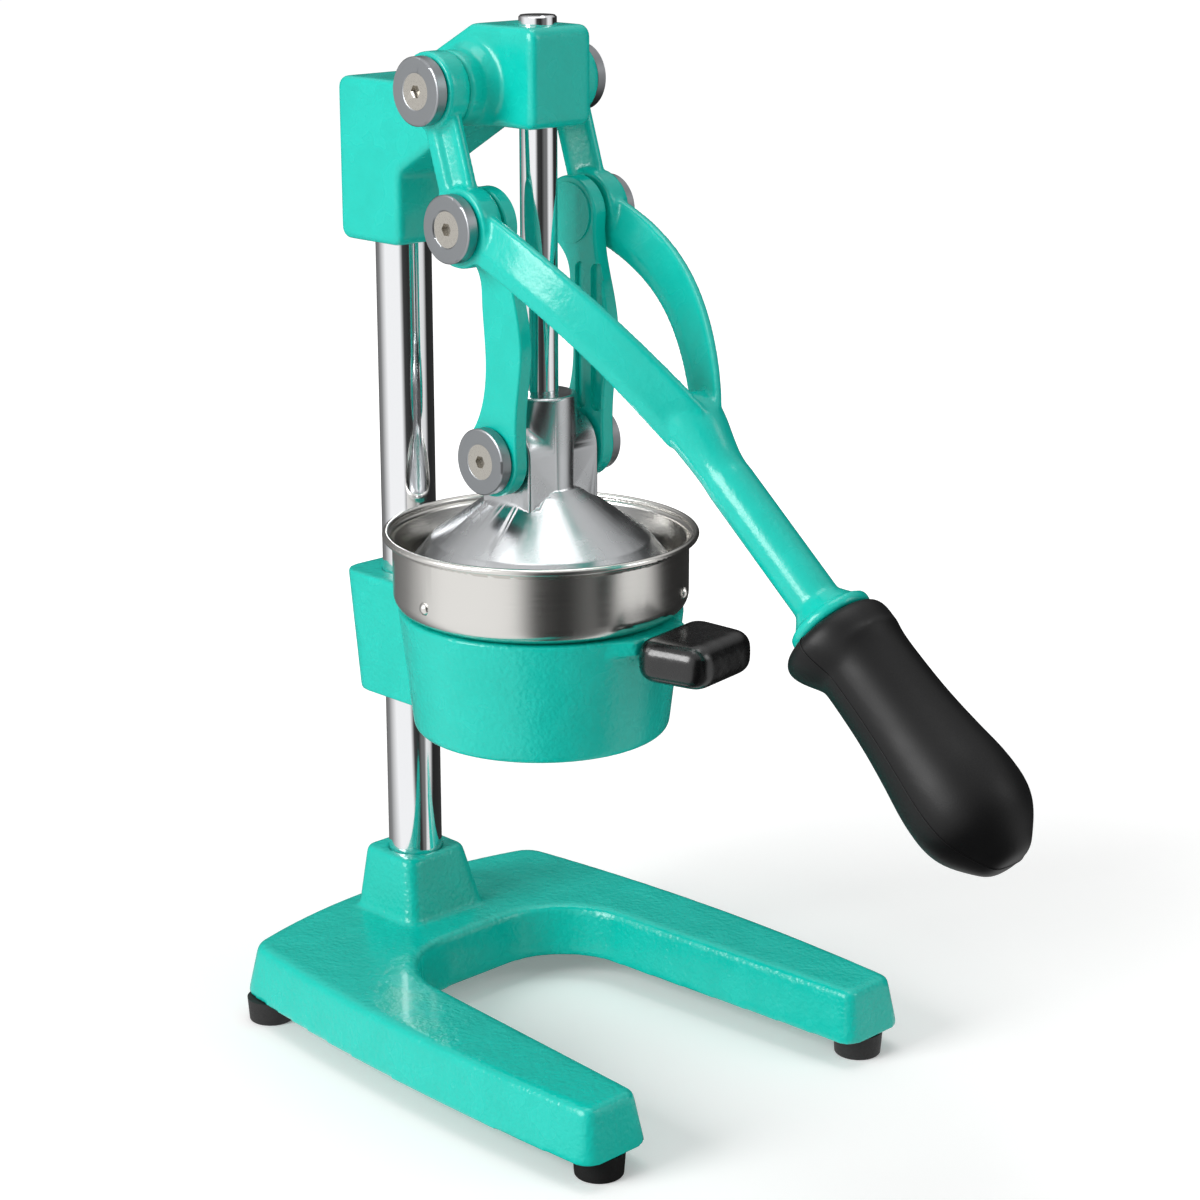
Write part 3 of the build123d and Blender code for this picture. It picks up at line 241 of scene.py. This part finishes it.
# The real grain of the grip is about 0.15 mm; it is drawn at 0.5 mm so that it shows.
GRIP_GRAIN = 0.0005
GRIP_GRAIN_DEPTH = 0.00003
RUBBED_PATCH = 0.03
DIP_WAVE = 0.009
DIP_WAVE_HEIGHT = 0.0003
DIP_SPECK = 0.0015
RUBBER_GRAIN = 0.0008
RUBBER_GRAIN_DEPTH = 0.00004
# A swell of the enamel film is this many pebbles wide.
PEBBLES_IN_SWELL = 6
# Scales that draw noise out into rings round an upright axis.
GROUND_STRETCH = (0.02, 0.02, 1)
TURNED_STRETCH = (0.01, 0.01, 1)


def enamel(name, grain, depth):
    """Glossy enamel over sand-cast iron: the film flows over the sand's pebbles and softens them, pools
    in the pits, and mirrors lamps as broken, wet-looking spots."""
    colours = bpy.context.scene.press_colours
    material, tree, place = blank_material(name)
    pebbles = noise(tree, place, grain, detail=1.5, roughness=0.45)
    swells = noise(tree, place, grain * PEBBLES_IN_SWELL, detail=1.0)
    pooled = spread(tree, swells, 0.3, 0.0)
    tint = blended(tree, pooled, colours.enamel, colours.enamel_deep)
    normal = relief(tree, pebbles, depth)
    normal = relief(tree, swells, depth, normal)
    gloss = spread(tree, swells, 0.2, 0.3)
    surface(tree, {
        "Base Color": tint, "Roughness": gloss, "IOR": 1.5, "Specular IOR Level": 0.35, "Normal": normal,
        "Coat Weight": 0.25, "Coat Roughness": 0.1,
    })
    return material


def chrome_plate():
    """Polished chrome plate on a ground bar: mirror-bright, with the faint rings of the grinding left."""
    colours = bpy.context.scene.press_colours
    material, tree, place = blank_material("chrome_plate")
    rings = noise(tree, moved(tree, place, (0, 0, 0), GROUND_STRETCH), GRINDING_RING, detail=3)
    wipe = noise(tree, place, WIPED_PATCH, detail=2)
    surface(tree, {
        "Base Color": colours.chrome, "Metallic": 1.0, "Roughness": spread(tree, wipe, 0.05, 0.10),
        "Normal": relief(tree, rings, GRINDING_DEPTH),
    })
    return material


def polished_casting():
    """Aluminium casting turned on a lathe and polished: soft gloss with fine rings round the axis."""
    colours = bpy.context.scene.press_colours
    pitch = bpy.context.scene.press_sizes.turning_pitch
    material, tree, place = blank_material("polished_aluminium_casting")
    rings = noise(tree, moved(tree, place, (0, 0, 0), TURNED_STRETCH), pitch, detail=3)
    cloud = noise(tree, place, POLISHED_CLOUD, detail=3)
    surface(tree, {
        "Base Color": colours.aluminium, "Metallic": 1.0, "Roughness": spread(tree, cloud, 0.2, 0.3),
        "Normal": relief(tree, rings, TURNING_DEPTH), "Anisotropic": 0.3,
    })
    return material


def brushed_stainless():
    """Spun stainless sheet brushed round its axis: satin lines that follow the wall."""
    colours = bpy.context.scene.press_colours
    pitch = bpy.context.scene.press_sizes.brush_pitch
    material, tree, place = blank_material("brushed_stainless_sheet")
    drawn_out = moved(tree, place, (0, 0, 0), TURNED_STRETCH)
    wall_lines = noise(tree, drawn_out, pitch, detail=4, roughness=0.6)
    radius = distance_from_axis(tree, place, ROD, along_x=False)
    bands = add(tree, "ShaderNodeCombineXYZ", {}, {"X": radius}).outputs["Vector"]
    floor_lines = noise(tree, bands, pitch, detail=4, roughness=0.6)
    both = {0: wall_lines, 1: floor_lines}
    lines = add(tree, "ShaderNodeMath", {"operation": "ADD"}, both).outputs["Value"]
    surface(tree, {
        "Base Color": colours.stainless, "Metallic": 1.0,
        "Roughness": spread(tree, lines, 0.19, 0.27, from_low=0.7, from_high=1.3),
        "Normal": relief(tree, lines, BRUSHING_DEPTH), "Anisotropic": 0.3,
    })
    return material


def turned_washer(name, centre):
    """Zinc-plated steel faced on a lathe: dull grey with rings round the screw."""
    colours = bpy.context.scene.press_colours
    pitch = bpy.context.scene.press_sizes.turning_pitch
    material, tree, place = blank_material(name)
    radius = distance_from_axis(tree, place, centre, along_x=True)
    across = add(tree, "ShaderNodeCombineXYZ", {}, {"X": radius}).outputs["Vector"]
    rings = noise(tree, across, pitch, detail=3, roughness=0.6)
    surface(tree, {
        "Base Color": colours.washer, "Metallic": 1.0, "Roughness": spread(tree, rings, 0.26, 0.42),
        "Normal": relief(tree, rings, FACING_DEPTH),
    })
    return material


def screw_steel(name):
    """Tumbled screw steel, stainless where it shows and zinc-plated where not: soft shine, tiny dents."""
    colours = bpy.context.scene.press_colours
    material, tree, place = blank_material(name)
    dents = noise(tree, place, SCREW_DENT, detail=3)
    surface(tree, {
        "Base Color": colours.screw, "Metallic": 1.0, "Roughness": spread(tree, dents, 0.24, 0.36),
        "Normal": relief(tree, dents, SCREW_DENT_DEPTH),
    })
    return material


def moulded_grip():
    """Matte moulded polypropylene: a fine spark-eroded grain that scatters light, rubbed in places."""
    colours = bpy.context.scene.press_colours
    material, tree, place = blank_material("matte_moulded_polypropylene")
    grain = noise(tree, place, GRIP_GRAIN, detail=2)
    rubbed = noise(tree, place, RUBBED_PATCH, detail=2)
    surface(tree, {
        "Base Color": colours.grip, "Roughness": spread(tree, rubbed, 0.4, 0.5), "IOR": 1.49,
        "Specular IOR Level": 0.3, "Normal": relief(tree, grain, GRIP_GRAIN_DEPTH),
    })
    return material


def dipped_vinyl():
    """Black vinyl dip: thick, glossy and slightly wavy, as it ran before it set."""
    colours = bpy.context.scene.press_colours
    material, tree, place = blank_material("glossy_dipped_vinyl")
    waves = noise(tree, place, DIP_WAVE, detail=1)
    specks = noise(tree, place, DIP_SPECK, detail=2)
    surface(tree, {
        "Base Color": colours.dipped, "Roughness": spread(tree, specks, 0.2, 0.3), "IOR": 1.54,
        "Normal": relief(tree, waves, DIP_WAVE_HEIGHT), "Coat Weight": 0.3, "Coat Roughness": 0.12,
    })
    return material


def foot_rubber():
    """Moulded rubber: dull, with a fine grain."""
    colours = bpy.context.scene.press_colours
    material, tree, place = blank_material("moulded_foot_rubber")
    grain = noise(tree, place, RUBBER_GRAIN, detail=3)
    surface(tree, {
        "Base Color": colours.rubber, "Roughness": spread(tree, grain, 0.55, 0.72), "IOR": 1.52,
        "Normal": relief(tree, grain, RUBBER_GRAIN_DEPTH),
    })
    return material


# ---- meshes ----
def only(piece):
    """Select one object alone and make it active."""
    bpy.ops.object.select_all(action="DESELECT")
    piece.select_set(True)
    bpy.context.view_layer.objects.active = piece


def joined_copy(node, name):
    """A new object with a copy of a CAD node's mesh, its loose corners joined, selected alone."""
    sizes = bpy.context.scene.press_sizes
    piece = bpy.data.objects.new(name, frame["nodes"][node].data.copy())
    bpy.context.scene.collection.objects.link(piece)
    piece.data.materials.clear()
    only(piece)
    bpy.ops.object.mode_set(mode="EDIT")
    bpy.ops.mesh.select_all(action="SELECT")
    bpy.ops.mesh.remove_doubles(threshold=sizes.merge)
    bpy.ops.mesh.dissolve_degenerate(threshold=sizes.merge)
    bpy.ops.object.mode_set(mode="OBJECT")
    return piece


def applied(piece, kind, settings):
    """Add a modifier to the selected piece and apply it."""
    bpy.ops.object.modifier_add(type=kind)
    modifier = piece.modifiers[-1]
    for name, value in settings.items():
        setattr(modifier, name, value)
    bpy.ops.object.modifier_apply(modifier=modifier.name)


def stands_for(piece, node, material):
    """Let a piece take the place of a CAD node, on its body, with the given material."""
    piece.data.materials.append(material)
    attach(piece, BODY_OF[node])
    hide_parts(node)


def finished(node, material):
    """The finished surface of a CAD node: its flats made whole and its rounds shaded smooth."""
    sizes = bpy.context.scene.press_sizes
    piece = joined_copy(node, node + "_finished")
    bpy.ops.object.mode_set(mode="EDIT")
    bpy.ops.mesh.select_all(action="SELECT")
    bpy.ops.mesh.dissolve_limited(angle_limit=sizes.flat_angle)
    bpy.ops.object.mode_set(mode="OBJECT")
    bpy.ops.object.shade_smooth_by_angle(angle=sizes.smooth_angle)
    applied(piece, "WEIGHTED_NORMAL", {"keep_sharp": True})
    stands_for(piece, node, material)


def softened(node, material, grid, rounds):
    """The finished surface of a casting or grip whose edges and joins its mould has rounded over."""
    piece = joined_copy(node, node + "_finished")
    applied(piece, "REMESH", {"mode": "VOXEL", "voxel_size": grid})
    applied(piece, "SMOOTH", {"factor": 0.5, "iterations": rounds})
    bpy.ops.object.shade_smooth()
    stands_for(piece, node, material)


def painted(node, material):
    """Give a CAD node that keeps its own mesh its material."""
    slots = frame["nodes"][node].material_slots
    if not slots:
        raise RuntimeError(node + " has no material slot")
    for slot in slots:
        slot.material = material


def cut_line(point, normal, keep_side):
    """Cut the edit mesh with a plane: keep its section line, or only the side the normal points to."""
    bpy.ops.mesh.select_all(action="SELECT")
    bpy.ops.mesh.bisect(
        plane_co=point, plane_no=normal, use_fill=False, clear_inner=True, clear_outer=not keep_side
    )


def seam_line(node, name, point, normal, start, along, material):
    """A mould seam: the node's section by the parting plane, beyond start, as a thin rounded ridge."""
    sizes = bpy.context.scene.press_sizes
    seam = joined_copy(node, name)
    bpy.ops.object.mode_set(mode="EDIT")
    cut_line(start, along, True)
    cut_line(point, normal, False)
    bpy.ops.mesh.select_all(action="SELECT")
    bpy.ops.mesh.remove_doubles(threshold=sizes.seam)
    bpy.ops.object.mode_set(mode="OBJECT")
    bpy.ops.object.convert(target="CURVE")
    seam.data.bevel_depth = sizes.seam
    seam.data.bevel_resolution = sizes.seam_fineness
    seam.data.use_fill_caps = True
    bpy.ops.object.convert(target="MESH")
    bpy.ops.object.shade_smooth()
    seam.data.materials.append(material)
    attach(seam, BODY_OF[node])


def lever_directions():
    """The direction along the lever's shaft, from pivot B to the grip, and the one across it, upward."""
    to_grip = GRIP - PIVOT_B
    along = Vector((0, to_grip.y, to_grip.z)).normalized()
    return along, Vector((0, along.z, -along.y))


# ---- operators, one for each piece or group of like pieces ----
class PRESS_OT_coarse_castings(bpy.types.Operator):
    """Enamel on the pebbly sand castings: the base and the cup holder"""

    bl_idname = "press.coarse_castings"
    bl_label = "Base and Holder"

    def execute(self, context):
        sizes = context.scene.press_sizes
        coat = enamel("enamel_on_coarse_casting", sizes.coarse_grain, sizes.coarse_relief)
        softened("base_casting", coat, sizes.base_grid, sizes.softening_rounds)
        softened("cup_holder", coat, sizes.softening_grid, sizes.softening_rounds)
        return {"FINISHED"}


class PRESS_OT_fine_castings(bpy.types.Operator):
    """Enamel on the smoother castings: the head, the links and the lever"""

    bl_idname = "press.fine_castings"
    bl_label = "Head, Links and Lever"

    def execute(self, context):
        sizes = context.scene.press_sizes
        coat = enamel("enamel_on_fine_casting", sizes.fine_grain, sizes.fine_relief)
        for node in ("link_left", "link_right"):
            finished(node, coat)
        softened("head_casting", coat, sizes.softening_grid, sizes.softening_rounds)
        softened("lever_fork", coat, sizes.softening_grid, sizes.lever_rounds)
        return {"FINISHED"}


class PRESS_OT_bars(bpy.types.Operator):
    """Chrome plate on the column and the guide rod"""

    bl_idname = "press.bars"
    bl_label = "Column and Guide Rod"

    def execute(self, context):
        chrome = chrome_plate()
        finished("column", chrome)
        finished("guide_rod", chrome)
        return {"FINISHED"}


class PRESS_OT_press_and_reamer(bpy.types.Operator):
    """Polished aluminium on the press casting and the reamer"""

    bl_idname = "press.press_and_reamer"
    bl_label = "Press and Reamer"

    def execute(self, context):
        aluminium = polished_casting()
        finished("press_cone", aluminium)
        finished("reamer_cone", aluminium)
        return {"FINISHED"}


class PRESS_OT_bowl(bpy.types.Operator):
    """Brushed stainless on the strainer bowl"""

    bl_idname = "press.bowl"
    bl_label = "Strainer Bowl"

    def execute(self, context):
        finished("strainer_bowl", brushed_stainless())
        return {"FINISHED"}


class PRESS_OT_pivots(bpy.types.Operator):
    """Turned washers, screws and pins of the pivots"""

    bl_idname = "press.pivots"
    bl_label = "Pivots"

    def execute(self, context):
        steel = screw_steel("tumbled_screw_steel")
        for letter, centre in (("a", PIVOT_A), ("b", PIVOT_B), ("c", PIVOT_C)):
            finished("washers_" + letter, turned_washer("turned_washer_" + letter, centre))
            finished("screws_" + letter, steel)
        for node in ("pivot_shaft_a", "pivot_pins_b", "pivot_pins_c"):
            painted(node, steel)
        return {"FINISHED"}


class PRESS_OT_fasteners(bpy.types.Operator):
    """Set screws, foot screws and the column's bolt and washer"""

    bl_idname = "press.fasteners"
    bl_label = "Hidden Fasteners"

    def execute(self, context):
        steel = screw_steel("zinc_plated_screw_steel")
        hidden = ("head_set_screw", "holder_set_screw", "press_set_screw", "foot_screws")
        for node in hidden + ("column_bolt", "column_washer"):
            painted(node, steel)
        return {"FINISHED"}


class PRESS_OT_lever_grip(bpy.types.Operator):
    """The moulded grip on the lever, with the seam of its mould"""

    bl_idname = "press.lever_grip"
    bl_label = "Lever Grip"

    def execute(self, context):
        sizes = context.scene.press_sizes
        matte = moulded_grip()
        softened("lever_grip", matte, sizes.softening_grid, sizes.grip_rounds)
        along, up = lever_directions()
        seam_line("lever_grip", "lever_grip_seam", GRIP, up, PIVOT_B, along, matte)
        return {"FINISHED"}


class PRESS_OT_holder_grip(bpy.types.Operator):
    """The dipped grip on the holder's side arm"""

    bl_idname = "press.holder_grip"
    bl_label = "Holder Grip"

    def execute(self, context):
        sizes = context.scene.press_sizes
        softened("holder_grip", dipped_vinyl(), sizes.softening_grid, sizes.grip_rounds)
        return {"FINISHED"}


class PRESS_OT_feet(bpy.types.Operator):
    """The rubber feet"""

    bl_idname = "press.feet"
    bl_label = "Feet"

    def execute(self, context):
        rubber = foot_rubber()
        for corner in ("front_left", "front_right", "back_left", "back_right"):
            finished("foot_" + corner, rubber)
        return {"FINISHED"}


# ---- stage ----
WHITE = "#FFFFFF"
# Each softbox's name, its place, and its width and height, in metres. They all point at LIT_POINT.
SOFTBOXES = (
    ("key", (-2.2, 0.6, 1.2), (1.1, 1.4)),
    ("fill", (1.1, -1.9, 1.5), (0.9, 1.2)),
    ("top", (0.1, 0.2, 2.2), (1.3, 1.3)),
)
LIT_POINT = (0, 0.03, 0.2)
# The cards that mirror surfaces show, as (bearing in degrees from the front toward the right, sRGB grey).
CARDS = (
    (-64, "#FFFFFF"),
    (-48, "#404040"),
    (-24, "#2C2C2C"),
    (-8, "#707070"),
    (8, "#747474"),
    (22, "#F4F4F4"),
    (44, "#E0E0E0"),
    (60, "#282828"),
    (130, "#343434"),
    (195, "#888888"),
    (235, "#FFFFFF"),
)
# How steeply a mirrored direction rises where the cards begin to fade and where only the ceiling is left.
CARDS_FADE = 0.35
CEILING_EDGE = 0.75
CEILING_TONE = "#E6E6E6"
# The floor's glow to the camera near the press and far away, and the distances between which it rises.
GLOW_NEAR = 0.2
GLOW_FAR = 0.68
GLOW_START = 0.22
GLOW_END = 0.9
PAPER_FIBRE = 0.002
# The camera and the point it looks at: steps from the guide rod's axis, and heights above the floor.
CAMERA_STEP = (-0.79234, -0.84407, 0)
CAMERA_HEIGHT = 0.54247
AIM_STEP = (0.00606, -0.03061, 0)
AIM_HEIGHT = 0.20793
# The camera's sensor and its focal length, in millimetres.
SENSOR_WIDTH = 36
FOCAL_LENGTH = 82.56


def pointed(name, data, place, aim):
    """Put a lamp or a camera at place, pointed at aim."""
    holder = bpy.data.objects.new(name, data)
    bpy.context.scene.collection.objects.link(holder)
    holder.location = place
    holder.rotation_euler = (Vector(aim) - Vector(place)).to_track_quat("-Z", "Y").to_euler()
    return holder


def softbox(name, place, size, power):
    """A rectangular area lamp that points at the press."""
    lamp = bpy.data.lights.new(name, "AREA")
    lamp.shape = "RECTANGLE"
    lamp.size = size[0]
    lamp.size_y = size[1]
    lamp.energy = power
    pointed(name, lamp, place, LIT_POINT)


def beside_rod(step, height):
    """The point a step away from the guide rod's axis, at a height above the floor."""
    point = ROD + Vector(step)
    point.z = height
    return point


def long_lens():
    """The camera: a long lens at the front left, a little above the press."""
    lens = bpy.data.cameras.new("press_camera")
    lens.sensor_width = SENSOR_WIDTH
    lens.lens = FOCAL_LENGTH
    eye = beside_rod(CAMERA_STEP, CAMERA_HEIGHT)
    bpy.context.scene.camera = pointed("press_camera", lens, eye, beside_rod(AIM_STEP, AIM_HEIGHT))


def card_tone(tree, direction):
    """The grey that mirrors show in a direction: dark and white cards stand in a ring round the press."""
    bearing = add(tree, "ShaderNodeTexGradient", {"gradient_type": "RADIAL"}, {"Vector": direction})
    ring = add(tree, "ShaderNodeValToRGB", {}, {"Fac": bearing.outputs["Fac"]})
    stops = ring.color_ramp.elements
    stops.remove(stops[1])
    for number, (degrees, tone) in enumerate(CARDS):
        # The gradient starts at -X and runs by way of -Y, where the bearings are counted from.
        place = degrees / 360 + 0.25
        stop = stops.new(place) if number else stops[0]
        stop.position = place
        stop.color = linear(tone)
    return ring.outputs["Color"]


def mixed(tree, share, first, second):
    """The shaders of two nodes mixed by share."""
    return add(tree, "ShaderNodeMixShader", {}, {0: share, 1: first.outputs[0], 2: second.outputs[0]})


def background(tree, colour, strength=1.0):
    """Light that comes from all round the scene."""
    return add(tree, "ShaderNodeBackground", {}, {"Color": colour, "Strength": strength})


def white_room():
    """Even light from all sides, plain white to the camera, with the ring of cards in mirror surfaces."""
    world = bpy.data.worlds.new("white_room")
    bpy.context.scene.world = world
    world.use_nodes = True
    tree = world.node_tree
    tree.nodes.clear()
    path = add(tree, "ShaderNodeLightPath", {}, {}).outputs
    direction = add(tree, "ShaderNodeTexCoord", {}, {}).outputs["Generated"]
    upward = add(tree, "ShaderNodeSeparateXYZ", {}, {"Vector": direction}).outputs["Z"]
    ceiling = spread(tree, upward, 0.0, 1.0, from_low=CARDS_FADE, from_high=CEILING_EDGE)
    mirrored = blended(tree, ceiling, card_tone(tree, direction), linear(CEILING_TONE))
    rays = {0: path["Is Camera Ray"], 1: path["Is Transmission Ray"]}
    seen = add(tree, "ShaderNodeMath", {"operation": "MAXIMUM"}, rays).outputs["Value"]
    even = background(tree, linear(WHITE), bpy.context.scene.press_stage.room)
    plain = mixed(tree, seen, even, background(tree, linear(WHITE)))
    shown = mixed(tree, path["Is Glossy Ray"], plain, background(tree, mirrored))
    add(tree, "ShaderNodeOutputWorld", {}, {"Surface": shown.outputs["Shader"]})


def floor_material():
    """Pale seamless paper: near white to the camera, still darkened by the press's shadow, and with the
    lower part of the ring of cards in mirror surfaces."""
    material, tree, place = blank_material("seamless_paper")
    path = add(tree, "ShaderNodeLightPath", {}, {}).outputs
    fibres = noise(tree, place, PAPER_FIBRE, detail=3)
    paper = blended(tree, spread(tree, fibres, 0.0, 1.0), linear("#F4F4F3"), linear("#F7F7F7"))
    diffuse = add(tree, "ShaderNodeBsdfDiffuse", {}, {"Color": paper})
    away = distance_from_axis(tree, place, ROD, along_x=False)
    glow = spread(tree, away, GLOW_NEAR, GLOW_FAR, from_low=GLOW_START, from_high=GLOW_END)
    lift = add(tree, "ShaderNodeEmission", {}, {"Color": linear(WHITE), "Strength": glow})
    lifted = add(tree, "ShaderNodeAddShader", {}, {0: diffuse.outputs["BSDF"], 1: lift.outputs["Emission"]})
    tone = card_tone(tree, moved(tree, place, ROD))
    cards = add(tree, "ShaderNodeEmission", {}, {"Color": tone, "Strength": 1.0})
    plain = mixed(tree, path["Is Camera Ray"], diffuse, lifted)
    shown = mixed(tree, path["Is Glossy Ray"], plain, cards)
    add(tree, "ShaderNodeOutputMaterial", {}, {"Surface": shown.outputs["Shader"]})
    return material


class PRESS_OT_stage(bpy.types.Operator):
    """Floor, white room, softboxes and camera"""

    bl_idname = "press.stage"
    bl_label = "Stage"

    def execute(self, context):
        stage = context.scene.press_stage
        context.scene.view_settings.view_transform = "Standard"
        bpy.ops.object.select_all(action="DESELECT")
        bpy.ops.mesh.primitive_plane_add(size=stage.floor_size, location=(0, 0, 0))
        floor = context.object
        floor.name = "floor"
        floor.data.materials.append(floor_material())
        white_room()
        for name, place, size in SOFTBOXES:
            softbox(name + "_softbox", place, size, getattr(stage, name))
        long_lens()
        return {"FINISHED"}


STEPS = (
    PRESS_OT_stage,
    PRESS_OT_coarse_castings,
    PRESS_OT_fine_castings,
    PRESS_OT_bars,
    PRESS_OT_press_and_reamer,
    PRESS_OT_bowl,
    PRESS_OT_pivots,
    PRESS_OT_fasteners,
    PRESS_OT_lever_grip,
    PRESS_OT_holder_grip,
    PRESS_OT_feet,
)


class PRESS_PT_looks(bpy.types.Panel):
    """The steps that dress the press, and their settings"""

    bl_idname = "PRESS_PT_looks"
    bl_label = "Citrus Press"
    bl_space_type = "VIEW_3D"
    bl_region_type = "UI"
    bl_category = "Citrus Press"

    def draw(self, context):
        layout = self.layout
        for step in STEPS:
            layout.operator(step.bl_idname)
        for group in (context.scene.press_colours, context.scene.press_sizes, context.scene.press_stage):
            for name in group.__annotations__:
                layout.prop(group, name)


GROUPS = (PressColours, PressSizes, PressStage)


def register():
    """Register the settings, the steps and the panel."""
    for kind in GROUPS + STEPS + (PRESS_PT_looks,):
        bpy.utils.register_class(kind)
    bpy.types.Scene.press_colours = PointerProperty(type=PressColours)
    bpy.types.Scene.press_sizes = PointerProperty(type=PressSizes)
    bpy.types.Scene.press_stage = PointerProperty(type=PressStage)


def unregister():
    """Take the settings, the steps and the panel away again."""
    del bpy.types.Scene.press_stage
    del bpy.types.Scene.press_sizes
    del bpy.types.Scene.press_colours
    for kind in (PRESS_PT_looks,) + STEPS[::-1] + GROUPS[::-1]:
        bpy.utils.unregister_class(kind)


def main():
    """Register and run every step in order."""
    register()
    for step in STEPS:
        family, name = step.bl_idname.split(".")
        getattr(getattr(bpy.ops, family), name)()


if __name__ == "__main__":
    main()
